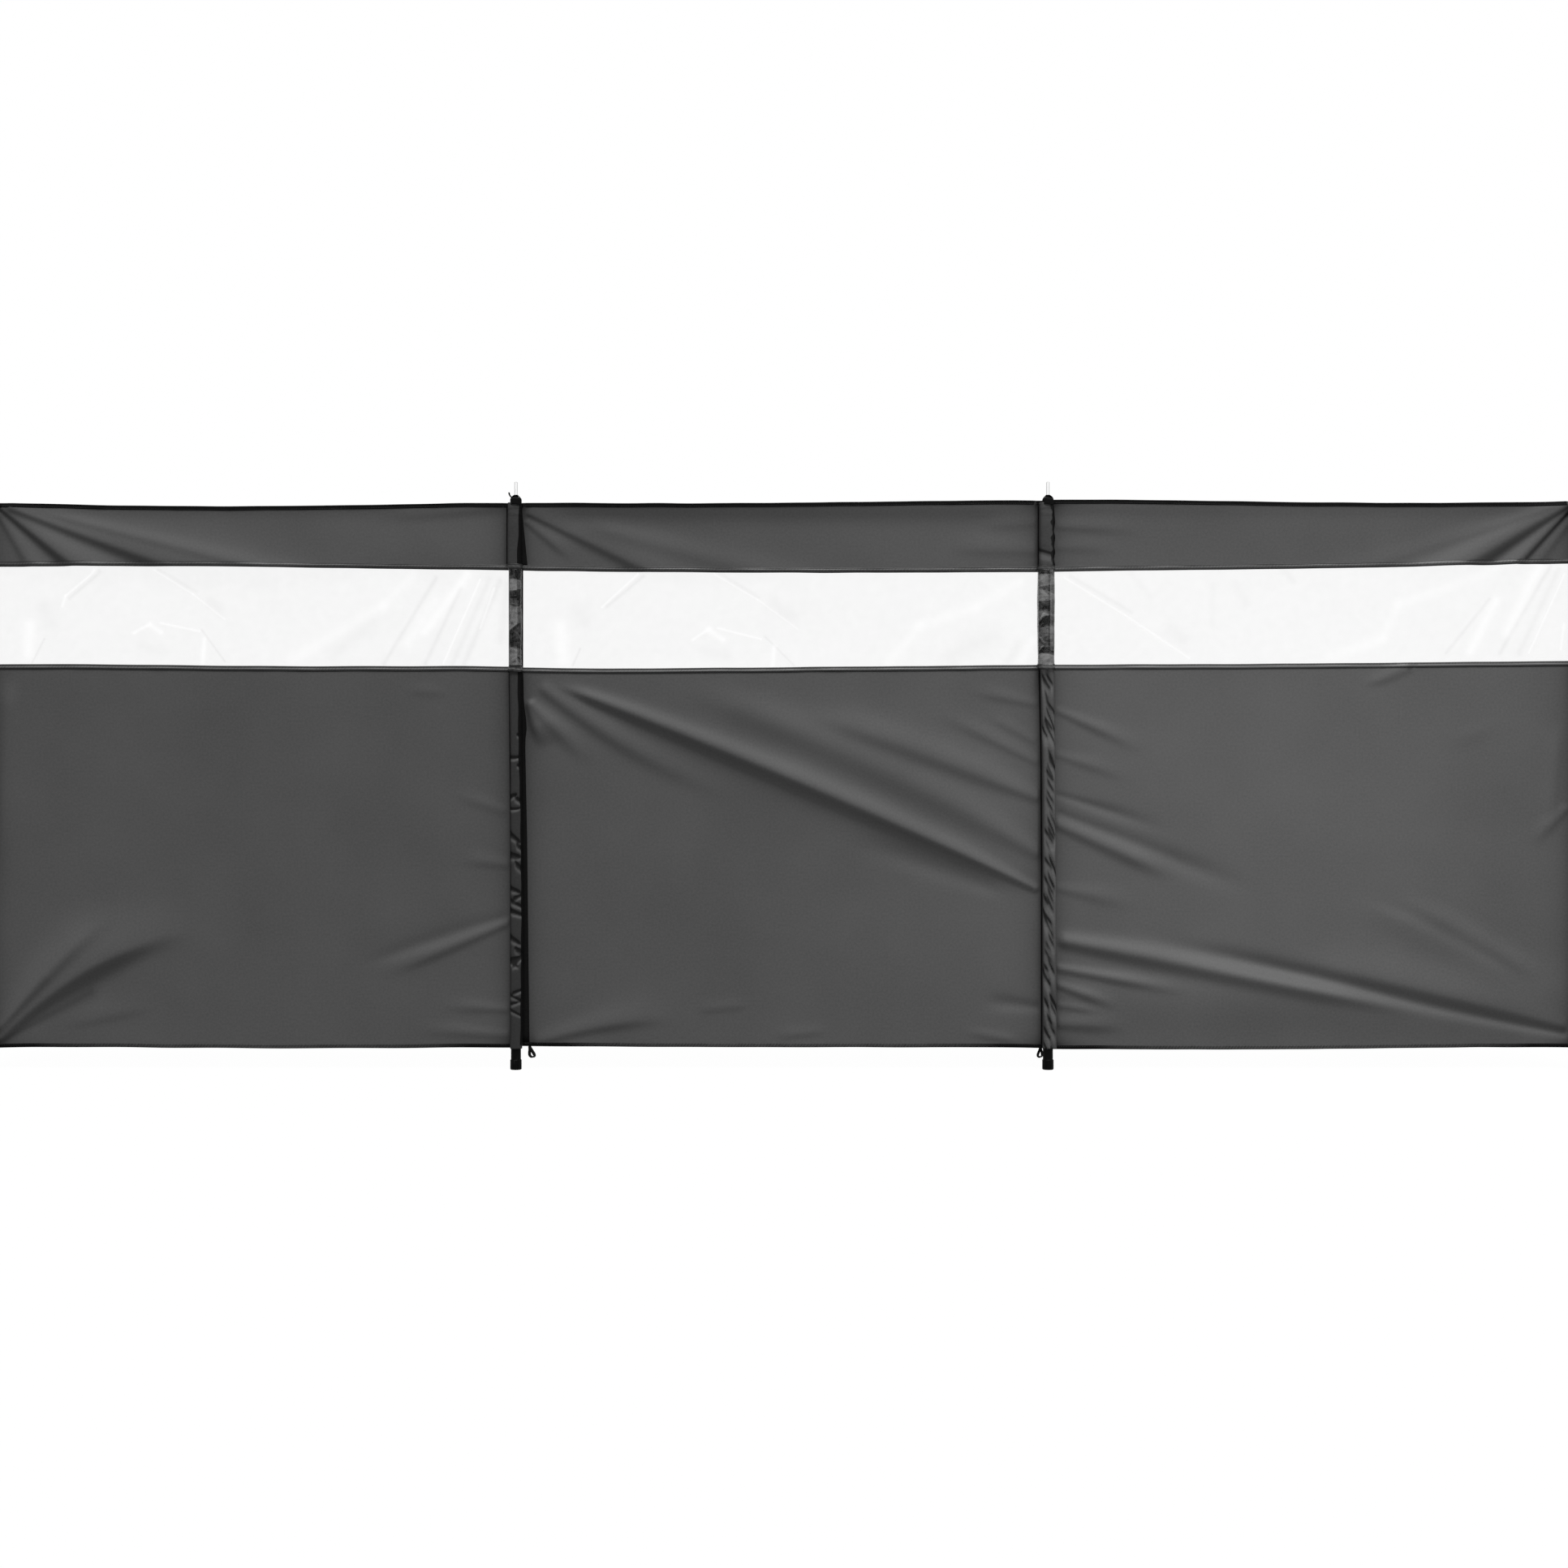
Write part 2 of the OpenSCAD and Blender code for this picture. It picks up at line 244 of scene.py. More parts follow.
# %% Folds of the cloth below the window, in millimetres from the bay's left pole and the ground
LOWER_FOLDS = [
    [Fold((34, 64), (545, 348), 13, 60, 17, 40, (0.3, 0.6, 0.9, 1.1, 1.3), (0.01, 0.5)),
     Fold((38, 92), (350, 405), 9, 44, 16, 7, (0.3, 0.65, 0.95, 1.2), (0.02, 0.5)),
     Fold((190, 100), (440, 154), 1.4, 24, 10, 0, (0.7, 1, 1), (0.3, 0.4)),
     Fold((1010, 228), (1352, 374), 3.2, 16, 9, -2, (1.2, 1.1, 0.9, 0.6), (0.45, 0.02)),
     Fold((950, 250), (1346, 384), -1.8, 14, 12, 0, (0.7, 1, 1, 0.6), (0.3, 0.04)),
     Fold((1150, 152), (1346, 146), 1.8, 12, 8, 0, (1.2, 1, 0.6), (0.6, 0.02)),
     Fold((1080, 92), (1346, 80), 1.8, 12, 9, 0, (1.2, 1, 0.6), (0.6, 0.02)),
     Fold((1200, 528), (1346, 516), 1.6, 14, 9, 0, (1.2, 1, 0.6), (0.6, 0.02)),
     Fold((1180, 700), (1340, 650), 1.2, 12, 9, 0, (1.2, 1, 0.6), (0.6, 0.1)),
     Fold((1060, 964), (1200, 954), 1.0, 12, 8, 0, (1, 1), (0.5, 0.5)),
     Fold((76, 1003), (54, 470), 3, 16, 14, 0, (1, 1, 0.8), (0.15, 0.4))],
    [Fold((92, 982), (1340, 452), 9, 22, 9, 8, (0.45, 0.8, 1, 1.1, 1.05, 0.85, 0.3), (0.08, 0.01)),
     Fold((92, 982), (1340, 452), 4, 150, 60, 8, (0.6, 1, 1, 1, 0.6), (0.2, 0.05)),
     Fold((380, 970), (1338, 538), 5.5, 34, 28, 18, (0.6, 0.9, 1, 1, 0.85, 0.35), (0.3, 0.01)),
     Fold((700, 915), (1338, 684), 5.5, 30, 18, 0, (0.6, 1, 1, 0.9, 0.4), (0.35, 0.01)),
     Fold((1060, 910), (1336, 778), 2.2, 16, 9, 0, (1, 1, 0.6), (0.5, 0.02)),
     Fold((1150, 962), (1338, 927), 2.0, 14, 8, 0, (1, 1, 0.6), (0.5, 0.02)),
     Fold((1190, 905), (1330, 832), 1.4, 12, 7, 0, (1, 1, 0.6), (0.5, 0.05)),
     Fold((840, 570), (1270, 430), -3, 26, 22, 4, (0.8, 1, 0.9, 0.5), (0.4, 0.2)),
     Fold((50, 978), (600, 668), 5, 24, 15, -30, (0.5, 0.9, 1.1, 1.3), (0.04, 0.75)),
     Fold((25, 940), (200, 760), 4.5, 18, 13, -4, (0.5, 1, 1.2), (0.04, 0.7)),
     Fold((45, 60), (420, 122), 4.5, 30, 12, 12, (0.4, 0.8, 1.2), (0.02, 0.5)),
     Fold((22, 938), (60, 815), 6, 22, 10, 0, (0.4, 1, 1.3), (0.02, 0.5)),
     Fold((470, 144), (590, 157), 1.0, 12, 6), Fold((670, 78), (790, 90), 1.0, 12, 6),
     Fold((1180, 160), (1345, 148), -2.4, 12, 12, 0, (1.2, 1, 0.7), (0.5, 0.02)),
     Fold((1130, 92), (1300, 62), 1.6, 10, 6, 0, (1, 1), (0.5, 0.3))],
    [Fold((16, 322), (1000, 130), 7.5, 18, 14, -3, (0.7, 1.1, 1.05, 0.95, 0.7), (0.03, 0.35)),
     Fold((230, 318), (1335, 82), -6.5, 15, 15, -7, (0.9, 1.15, 1.1, 0.95, 0.75, 0.45), (0.35, 0.01)),
     Fold((560, 285), (1330, 103), 2.5, 40, 14, 0, (0.8, 1, 1, 0.8, 0.35), (0.4, 0.01)),
     Fold((16, 622), (330, 478), 5, 20, 13, 0, (0.5, 0.9, 1.1), (0.02, 0.4)),
     Fold((16, 653), (560, 425), -3, 14, 14, -4, (0.5, 0.9, 1.2, 1.2), (0.02, 0.5)),
     Fold((16, 917), (270, 796), 3.6, 13, 9, 0, (0.4, 1, 1.2), (0.02, 0.7)),
     Fold((16, 802), (230, 728), 2.4, 15, 9, 0, (0.4, 1, 1.2), (0.02, 0.7)),
     Fold((16, 701), (330, 590), -3.2, 11, 9, 0, (0.4, 1, 1.2), (0.02, 0.7)),
     Fold((16, 460), (250, 400), 2.2, 17, 12, 0, (0.4, 1, 1.2), (0.02, 0.7)),
     Fold((16, 254), (380, 184), 4.2, 11, 8, 0, (0.6, 1, 1.2), (0.02, 0.6)),
     Fold((16, 213), (190, 148), 3.6, 11, 7, 0, (0.6, 1, 1.2), (0.02, 0.6)),
     Fold((16, 108), (220, 96), 3.6, 20, 11, 0, (0.6, 1, 1.2), (0.02, 0.6)),
     Fold((16, 161), (150, 138), 2.2, 9, 6, 0, (0.6, 1), (0.02, 0.6)),
     Fold((770, 419), (1210, 188), 2.6, 14, 30, 0, (0.6, 1, 1, 0.8), (0.3, 0.25)),
     Fold((870, 442), (1270, 214), 2.8, 20, 17, 0, (0.6, 1, 1, 0.8), (0.35, 0.25)),
     Fold((-60, 125), (1420, 125), 5, 60, 60),
     Fold((810, 978), (935, 1026), 2.6, 12, 8, -5, (0.6, 1, 1), (0.3, 0.02)),
     Fold((1020, 814), (1170, 878), 0.9, 14, 14, 0, (1, 1), (0.5, 0.5)),
     Fold((1320, 895), (1298, 590), 2.0, 14, 12, 0, (1, 1), (0.3, 0.3)),
     Fold((1240, 560), (1340, 668), 2.4, 14, 10, 0, (1.2, 1, 0.6), (0.6, 0.02))],
]

# %% Folds of the cloth above the window
UPPER_FOLDS = [
    [Fold((-60, 1430), (1420, 1430), 2.2, 18, 18), Fold((-60, 1240), (1420, 1240), 6, 110, 30),
     Fold((34, 1436), (422, 1125), 9.8, 45, 13, 0, (0.35, 0.7, 1, 1.1), (0.02, 0.01)),
     Fold((50, 1436), (917, 1127), 9.2, 60, 17, -8, (0.3, 0.7, 1, 1.1), (0.02, 0.02)),
     Fold((28, 1421), (201, 1137), 4.8, 26, 11, 0, (0.35, 0.7, 1, 1.2), (0.02, 0.01)),
     Fold((120, 1427), (1225, 1133), 1.8, 20, 12, 0, (0.4, 0.9, 1.2), (0.1, 0.1)),
     Fold((980, 1404), (1330, 1432), 1, 16, 10, -4, (1, 1), (0.4, 0.1))],
    [Fold((-60, 1425), (1420, 1425), 6, 18, 24), Fold((-60, 1240), (1420, 1240), 1.5, 90, 30),
     Fold((20, 1423), (598, 1136), 5.3, 45, 13, 0, (0.35, 0.8, 1, 1.1), (0.02, 0.02)),
     Fold((20, 1400), (150, 1290), 3, 24, 9, 0, (0.35, 0.8, 1.1), (0.02, 0.5)),
     Fold((150, 1390), (1017, 1135), 2.5, 26, 20, 0, (0.6, 1, 1.1), (0.1, 0.1)),
     Fold((1080, 1322), (1345, 1318), 1.8, 22, 12, 0, (1.2, 1, 0.7), (0.5, 0.03)),
     Fold((1180, 1380), (1345, 1392), 1.2, 16, 10, 0, (1.2, 1, 0.7), (0.5, 0.03))],
    [Fold((-60, 1430), (1420, 1430), 2.6, 18, 18),
     Fold((14, 1384), (260, 1370), 2.2, 20, 10, 0, (0.6, 1, 1.2), (0.03, 0.6)),
     Fold((18, 1330), (200, 1322), 1.4, 18, 10, 0, (0.6, 1, 1.2), (0.03, 0.6)),
     Fold((829, 1120), (1342, 1446), 12, 36, 16, 3, (1.1, 1.1, 0.8, 0.4), (0.02, 0.01)),
     Fold((1056, 1125), (1345, 1438), 9.2, 26, 9, 3, (1.1, 1, 0.7, 0.45), (0.01, 0.01)),
     Fold((1152, 1148), (1346, 1405), 4.6, 30, 14, 0, (1.2, 1, 0.7, 0.4), (0.01, 0.01)),
     Fold((368, 1121), (1320, 1444), 1.8, 24, 14, 0, (1.2, 0.9, 0.4), (0.3, 0.05))],
]
print("folds:", [len(bay) for bay in LOWER_FOLDS], [len(bay) for bay in UPPER_FOLDS])

# %% [markdown]
# ## The cloth panels
# A panel is one function of two parameters: how far along the bay, and how far from its lower edge to
# its upper one. The relief fades to nothing beside the sleeves, where the cloth is sewn down, and the
# tapes follow it. A field on the mesh paints shade into the cloth: along the seams, in the corners at
# the hems, and in some creases. Solidify gives the sheet the thickness of coated cloth.

# %% How far the black seam strip reaches beside a pole, wider than the tape where it paints shadow
STRIP_REACH = {(2, 1): ((64, 33), (597, 27), (838, 22), (870, 26), (905, 24), (930, 19), (1018, 17),
                        (1290, 17), (1291, 28), (1443, 13)),
               (2, -1): ((64, 16.5), (600, 16.5), (1018, 20), (1290, 20), (1291, 26), (1443, 26)),
               (3, 1): ((64, 22), (530, 20), (1018, 15), (1290, 15), (1291, 20), (1306, 17), (1324, 20.5),
                        (1340, 17.5), (1362, 20.5), (1378, 17), (1400, 20), (1443, 17)),
               (3, -1): ((64, 16.5), (530, 16.5), (800, 18), (1018, 22.5), (1290, 22.5), (1291, 24.6),
                         (1443, 24.6))}


def strip_reach(k, side, z):
    """Width of the strip from pole k to one side: the tape's own half width, or heights and widths joined by
    straight lines, where the strip is made wider to paint the shadow beside the sleeve."""
    rows = STRIP_REACH.get((k, side), ((0, tape_half_w / MM),))
    heights, widths = np.array(rows).T * MM
    return np.interp(z, heights, widths)


def from_seams(x, z, bay):
    """How far a point lies from the edges of the left and of the right seam strip."""
    return x - pole_x[bay] - strip_reach(bay + 1, 1, z), pole_x[bay + 1] - strip_reach(bay + 2, -1, z) - x


print("strips widened into painted shadow:", list(STRIP_REACH))

# %% A hanging sheet
CLOTH_COLUMNS, LOWER_ROWS, UPPER_ROWS = 144, 152, 50
CROWDING = 0.5
CLOTH_THICKNESS = 0.6 * MM
CLOTH_FOLD = 1.9
CLOTH_SLACK, CLOTH_WAVE, CLOTH_SEED = 2.2 * MM, 0.9, 100
SEAM_FADE = 7 * MM


def sheet_grid(node, bay, low_curve, high_curve, columns, rows):
    """Points of a flat sheet between two edge curves: x runs along the bay, in smaller steps near its
    two ends, and z from edge to edge."""
    low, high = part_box(node)
    t, share = np.meshgrid(np.linspace(0, 1, columns), np.linspace(0, 1, rows))
    x = low.x + (high.x - low.x) * (t - CROWDING * np.sin(2 * math.pi * t) / (2 * math.pi))
    along = (x - pole_x[bay]) / pitch
    low_z = low.z + low_curve(along)
    high_z = high.z + high_curve(along)
    return x, low_z + share * (high_z - low_z)


def between_seams(x, z, bay, fade):
    """1 in the open cloth, falling to 0 where the two seam strips hold it flat."""
    from_left, from_right = from_seams(x, z, bay)
    return smooth(from_left / fade) * smooth(from_right / fade)


def cloth_out(x, z, bay, folds):
    """How far the cloth stands out towards the viewer: folds and slack, held at the seams."""
    relief = CLOTH_FOLD * fold_relief(x - pole_x[bay], z, folds[bay])
    relief += slack(x, z, CLOTH_SEED + bay, CLOTH_SLACK, CLOTH_WAVE)
    return relief * between_seams(x, z, bay, SEAM_FADE)


print("cloth grids:", (CLOTH_COLUMNS, LOWER_ROWS), (CLOTH_COLUMNS, UPPER_ROWS))

# %% Where shade is painted on the cloth
SEAM_SHADE_REACH, SEAM_DARK = 24 * MM, 0.75
CORNER_REACH, CORNER_RISE = 70 * MM, 14 * MM
# Creases with painted shade: where each starts and ends, its width at both ends, and how much shade.
CreaseShade = namedtuple("CreaseShade", "start end first_w last_w soil")
CREASE_SHADES = [[CreaseShade((30, 66), (270, 196), 5, 14, 0.6), CreaseShade((36, 98), (160, 228), 4, 10, 0.4),
            CreaseShade((30, 1440), (240, 1262), 3, 12, 0.7), CreaseShade((60, 1437), (500, 1262), 4, 16, 0.45)],
           [CreaseShade((30, 1418), (300, 1284), 3, 8, 0.3)],
           [CreaseShade((1344, 1446), (1100, 1284), 3, 13, 0.8), CreaseShade((1346, 1438), (1190, 1268), 4, 6, 1.2)]]


def near_line(u, v, start, end, first_w, last_w):
    """1 on the straight line between two places, and a bell beside it, whose width runs from the first
    to the last along the line."""
    (u0, v0), (run_u, run_v) = np.array(start), np.array(end) - np.array(start)
    along = np.clip(((u - u0) * run_u + (v - v0) * run_v) / (run_u**2 + run_v**2), 0, 1)
    away = np.hypot(u - u0 - along * run_u, v - v0 - along * run_v)
    return np.exp(-((away / (first_w + along * (last_w - first_w))) ** 2))


def painted_cloth_shade(x, z, bay):
    """How much shade is painted on the cloth: along the seams, more in the corners at the two hems, and in
    the listed creases."""
    u, v = (x - pole_x[bay]) / MM, z / MM
    crease_shade = sum(crease.soil * near_line(u, v, *crease[:4]) for crease in CREASE_SHADES[bay])
    seam = np.maximum(np.minimum(*from_seams(x, z, bay)), 0)
    to_hem = np.maximum(np.minimum(z - hem_top_z, top_hem_low_z - z), 0)
    corner = np.exp(-seam / CORNER_REACH - to_hem / CORNER_RISE)
    return SEAM_DARK * np.exp(-seam / SEAM_SHADE_REACH) + corner + crease_shade


print("pressed creases:", [len(bay) for bay in CREASE_SHADES])


# %% Make the panels
def cloth_panel(kind, bay, folds, low_curve, high_curve, rows):
    """One bay of cloth: the sheet's plane less what stands out."""
    node = f"{kind}_{bay + 1}"
    x, z = sheet_grid(node, bay, low_curve[bay], high_curve[bay], CLOTH_COLUMNS, rows)
    y = cloth_y - cloth_out(x, z, bay, folds)
    # The field paints shade into the cloth's colour along the seams, in the corners and in the creases.
    piece = add_piece(f"cloth_{kind}_{bay + 1}", [Patch(np.dstack([x, y, z]), np.dstack([x, z]))],
                      "grey cloth", [node], CLOTH_THICKNESS, {"soil": painted_cloth_shade(x, z, bay)})
    print(piece.name, "stands proud by", round(float(cloth_y - y.min()) / MM, 1), "mm")


for bay in range(bay_count):
    cloth_panel("lower_panel", bay, LOWER_FOLDS, bottom_rise, film_low_rise, LOWER_ROWS)
    cloth_panel("upper_panel", bay, UPPER_FOLDS, film_high_rise, top_rise, UPPER_ROWS)

# %% [markdown]
# ## The window film
# Clear film is stiffer than cloth and remembers how it was packed, so it shows short sharp creases and
# slanted streaks. The same ridges serve, only narrow and low. Film that is creased also turns whiter or
# greyer, and the streaks carry that together with painted glints and painted dark reflections. Those
# streaks are finer than the mesh, so they are listed here and drawn by the film's finish.

# %% Creases of the film, in millimetres from the bay's left pole and the ground
FILM_CREASES = [
    [Fold((281, 1277), (198, 1210), 2, 9, 6), Fold((429, 1277), (606, 1150), 2.5, 10, 7, 14),
     Fold((385, 1119), (456, 1119), 3, 9, 6, 12), Fold((460, 1144), (610, 1050), 3, 10, 6, 16),
     Fold((1176, 1258), (1014, 1040), -3, 14, 9, 12), Fold((1138, 1262), (779, 1042), 3, 34, 26, -8)],
    [Fold((311, 1266), (219, 1183), 2.5, 9, 6), Fold((507, 1266), (720, 1127), 2.5, 10, 7, 14),
     Fold((451, 1099), (534, 1098), 4, 10, 7, 20), Fold((530, 1130), (711, 1034), 2.5, 9, 6, 12)],
    [Fold((44, 1258), (364, 1052), 4, 12, 7, 4), Fold((1289, 1279), (1161, 1066), -4, 12, 8),
     Fold((1325, 1267), (1234, 1066), 3, 11, 8)],
]
# Streaks: start, end, width and tone; partly the film's own whitening, partly painted glints and painted
# reflections.
Streak = namedtuple("Streak", "start end width tone")
STREAKS = [
    [Streak((112, 1135), (108, 1062), 16, 0.9), Streak((150, 1102), (118, 1040), 3, -0.8),
     Streak((150, 1180), (165, 1140), 22, -0.45), Streak((283, 1277), (204, 1212), 3, 0.8),
     Streak((296, 1274), (214, 1206), 5, -0.7), Streak((204, 1212), (196, 1186), 4, 0.8),
     Streak((433, 1277), (531, 1216), 2.5, 0.6), Streak((531, 1216), (612, 1152), 2.5, 0.6),
     Streak((446, 1278), (540, 1222), 5, -0.5), Streak((575, 1200), (600, 1175), 16, -0.5),
     Streak((379, 1117), (421, 1139), 4, 0.9), Streak((421, 1137), (448, 1119), 7, 1.0),
     Streak((400, 1085), (460, 1065), 14, -0.35), Streak((448, 1142), (548, 1121), 3, 1.0),
     Streak((554, 1125), (612, 1044), 3, -0.7), Streak((560, 1100), (555, 1040), 6, 1.0),
     Streak((787, 1048), (1016, 1185), 16, 0.5), Streak((1016, 1185), (1097, 1266), 12, 0.45),
     Streak((890, 1065), (990, 1140), 22, -0.4), Streak((1020, 1038), (1153, 1258), 6, -0.8),
     Streak((1126, 1121), (1234, 1266), 12, 0.9), Streak((1080, 1090), (1150, 1200), 14, 0.5),
     Streak((1126, 1038), (1217, 1231), 6, -0.8), Streak((1172, 1038), (1267, 1254), 2.5, 1.0),
     Streak((1196, 1038), (1290, 1254), 8, -0.6), Streak((1226, 1038), (1317, 1250), 8, -0.8),
     Streak((1267, 1129), (1303, 1231), 3, 0.9), Streak((1320, 1100), (1335, 1240), 12, -0.6)],
    [Streak((112, 1130), (120, 1050), 18, 0.9), Streak((163, 1076), (144, 1034), 3, -0.8),
     Streak((160, 1165), (170, 1150), 24, -0.5), Streak((311, 1267), (219, 1183), 3, 0.8),
     Streak((325, 1262), (232, 1185), 5, -0.7), Streak((507, 1267), (618, 1202), 2.5, 0.6),
     Streak((618, 1202), (720, 1127), 2.5, 0.6), Streak((520, 1270), (620, 1208), 5, -0.5),
     Streak((660, 1192), (705, 1160), 18, -0.5), Streak((451, 1099), (493, 1127), 4, 0.9),
     Streak((493, 1124), (528, 1100), 8, 1.0), Streak((516, 1129), (627, 1101), 3, 1.0),
     Streak((637, 1107), (711, 1034), 3, -0.7), Streak((660, 1081), (656, 1034), 6, 1.0),
     Streak((480, 1070), (540, 1060), 16, -0.35), Streak((953, 1039), (1036, 1137), 14, 0.5),
     Streak((1036, 1137), (1176, 1183), 14, 0.5), Streak((1176, 1183), (1287, 1248), 14, 0.5),
     Streak((1120, 1060), (1220, 1110), 26, -0.45), Streak((1259, 1044), (1287, 1090), 12, -0.5),
     Streak((1295, 1044), (1324, 1099), 12, 0.5)],
    [Streak((44, 1258), (200, 1162), 2.5, 0.7), Streak((200, 1162), (364, 1052), 2.5, 0.7),
     Streak((60, 1262), (215, 1170), 6, -0.55), Streak((315, 1125), (345, 1100), 20, -0.5),
     Streak((213, 1271), (264, 1212), 10, -0.3), Streak((424, 1239), (424, 1139), 10, -0.3),
     Streak((483, 1239), (510, 1190), 14, -0.35), Streak((605, 1280), (630, 1250), 10, -0.5),
     Streak((731, 1057), (859, 1102), 14, 0.5), Streak((859, 1102), (900, 1190), 12, 0.4),
     Streak((900, 1190), (1150, 1280), 14, 0.45), Streak((1085, 1070), (1150, 1200), 12, 0.9),
     Streak((1180, 1120), (1262, 1290), 14, 0.9), Streak((1023, 1066), (1133, 1203), 5, -0.7),
     Streak((1161, 1066), (1289, 1286), 6, -0.8), Streak((1210, 1066), (1310, 1280), 8, -0.6),
     Streak((1234, 1066), (1325, 1267), 2.5, 0.9), Streak((1316, 1075), (1325, 1139), 3, 0.8)],
]
print("creases and streaks:", [len(bay) for bay in FILM_CREASES], [len(bay) for bay in STREAKS])

# %% Make the windows
FILM_COLUMNS, FILM_ROWS = 150, 34
FILM_THICKNESS = 0.4 * MM
FILM_SLACK, FILM_WAVE, FILM_SEED = 3 * MM, 0.5, 300
FILM_FADE = 22 * MM


def film_out(x, z, bay):
    """The film's own creases, away from its edges, and near an edge what the cloth there does."""
    along = (x - pole_x[bay]) / pitch
    over_low = z - film_low_z - film_low_rise[bay](along)
    under_high = film_high_z + film_high_rise[bay](along) - z
    own = fold_relief(x - pole_x[bay], z, FILM_CREASES[bay])
    own += slack(x, z, FILM_SEED + bay, FILM_SLACK, FILM_WAVE)
    inside = smooth(over_low / FILM_FADE) * smooth(under_high / FILM_FADE)
    own *= inside * between_seams(x, z, bay, FILM_FADE)
    lower = cloth_out(x, z, bay, LOWER_FOLDS) * smooth(1 - over_low / FILM_FADE)
    upper = cloth_out(x, z, bay, UPPER_FOLDS) * smooth(1 - under_high / FILM_FADE)
    return own + lower + upper


for bay in range(bay_count):
    node = f"window_{bay + 1}"
    x, z = sheet_grid(node, bay, film_low_rise[bay], film_high_rise[bay], FILM_COLUMNS, FILM_ROWS)
    y = cloth_y - film_out(x, z, bay)
    film = add_piece(f"film_{node}", [Patch(np.dstack([x, y, z]), np.dstack([x - pole_x[bay], z]))],
                     f"clear film {bay + 1}", [node], FILM_THICKNESS)
    low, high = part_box(node)
    print(film.name, "creases:", len(FILM_CREASES[bay]))

# %% [markdown]
# ## Sleeves
# A sleeve is a strip of cloth that is sewn down on both sides of its pole. The coated cloth is stiff, so
# its section is a rounded box round the tube, and a squarish oval gives that in one formula. Pulled up
# on the tube it crumples: some sleeves are kinked at a few levels, others are twisted and show
# slanting valleys. The strip stands off the tube, so that the valleys have room. A field on the mesh
# paints shade into the bottom of each valley and a highlight on the lip under it, and paints a flank
# and whole stretches of some sleeves darker as shade.

# %% The section of a sleeve
ARCH_SHARE = 0.62
SQUARENESS = 3.2
SLEEVE_GAP = 0.7 * MM
SLEEVE_THICKNESS = 0.6 * MM
PLAIN_FEET = ((0, -13, 14.5),)
SLEEVE_FEET = {2: ((54, -12.8, 14.5), (400, -12, 16.5), (670, -12.2, 14), (800, -12.2, 12.4),
                   (1018, -15, 12.2), (1032, -12.5, 10.4), (1276, -12.5, 10.4), (1291, -20, 12.4),
                   (1454, -20, 13)),
               3: ((54, -12.2, 20), (530, -12.2, 18), (800, -14, 15.5), (1018, -18, 13), (1032, -22, 12),
                   (1290, -22, 12), (1291, -21.5, 12), (1454, -21.5, 12))}
SIDE_SHARE = 0.3


def squarish_oval(turn):
    """Points x, y of an oval with flattened sides, one unit wide and deep, at an angle from the front."""
    side, front = np.sin(turn), np.cos(turn)
    reach = (np.abs(side) ** SQUARENESS + np.abs(front) ** SQUARENESS) ** (-1 / SQUARENESS)
    return reach * side, -reach * front


def sleeve_surface(k, across, z, bulge, grow=0.0):
    """Half a squarish oval for the middle share of the strip, then straight back to the sewn foot. The
    oval is as wide as the table of heights tells. The bulge moves it to the front, and less to the sides."""
    heights, left, right = np.array(SLEEVE_FEET.get(k, PLAIN_FEET)).T * MM
    left_x = np.interp(z, heights, left) - grow
    right_x = np.interp(z, heights, right) + grow
    side, front = squarish_oval(np.clip(across / ARCH_SHARE, -1, 1) * math.pi / 2)
    back = np.clip((np.abs(across) - ARCH_SHARE) / (1 - ARCH_SHARE), 0, 1)
    x = (left_x + right_x) / 2 + ((right_x - left_x) / 2 + SIDE_SHARE * bulge * (1 - back)) * side
    y = (pole_r + SLEEVE_GAP + grow + bulge) * front + back * (sleeve_back_y - SLEEVE_THICKNESS - grow)
    return np.dstack([pole_x[k - 1] + x, y, z])


SECTION_POINTS = 60
at_foot = np.full((1, SECTION_POINTS), bottom_z)
one_section = sleeve_surface(1, np.linspace(-1, 1, SECTION_POINTS)[None], at_foot, 0.0)[0]
strip_w = float(np.linalg.norm(np.diff(one_section, axis=0), axis=1).sum())
print("a sleeve's strip is", round(strip_w / MM, 1), "mm wide before it is sewn")

# %% Creases across a sleeve
Crease = namedtuple("Crease", "level lean height above below start end bow", defaults=(-1.2, 1.2, 0))
KINKS = [Crease(857, -12, -2.6, 3, 3, 0.05, 0.7), Crease(799, 3, -2.4, 4, 3, -0.8, 0.7, -3),
         Crease(779, -12, -2.6, 3, 3, 0.05, 0.7), Crease(702, 15, -3, 4, 5, -0.7, 0.15),
         Crease(694, -25, -3, 4, 5, -0.15, 0.7), Crease(670, 5, -1.6, 3, 3, -0.6, 0.4, -4),
         Crease(590, -30, -3.4, 5, 7, -0.7, 0.35), Crease(578, -35, -3.4, 4, 6, -0.05, 0.8),
         Crease(546, -8, -3.6, 5, 8, -0.8, 0.35), Crease(528, -40, -3.4, 4, 8, -0.15, 0.8),
         Crease(458, -15, -3, 4, 6, -0.7, 0.35), Crease(440, 20, -2.6, 4, 5, -0.25, 0.7),
         Crease(424, -20, -2.6, 4, 5, -0.5, 0.6), Crease(401, -14, -2.8, 4, 6, -0.7, 0.5),
         Crease(329, -25, -3, 5, 7, -0.8, 0.35), Crease(309, -22, -3, 4, 7, -0.15, 0.8),
         Crease(285, 10, -2.6, 4, 6, -0.8, 0.5), Crease(276, 40, -3.4, 5, 6, -0.3, 0.8),
         Crease(268, -25, -3.2, 4, 6, -0.9, 0.2), Crease(199, 15, -2, 3, 4, -0.3, 0.6),
         Crease(184, -18, -2, 3, 4, -0.6, 0.5), Crease(172, 12, -1.6, 3, 4, -0.5, 0.6),
         Crease(146, -20, -1.4, 3, 4, -0.6, 0.5)]
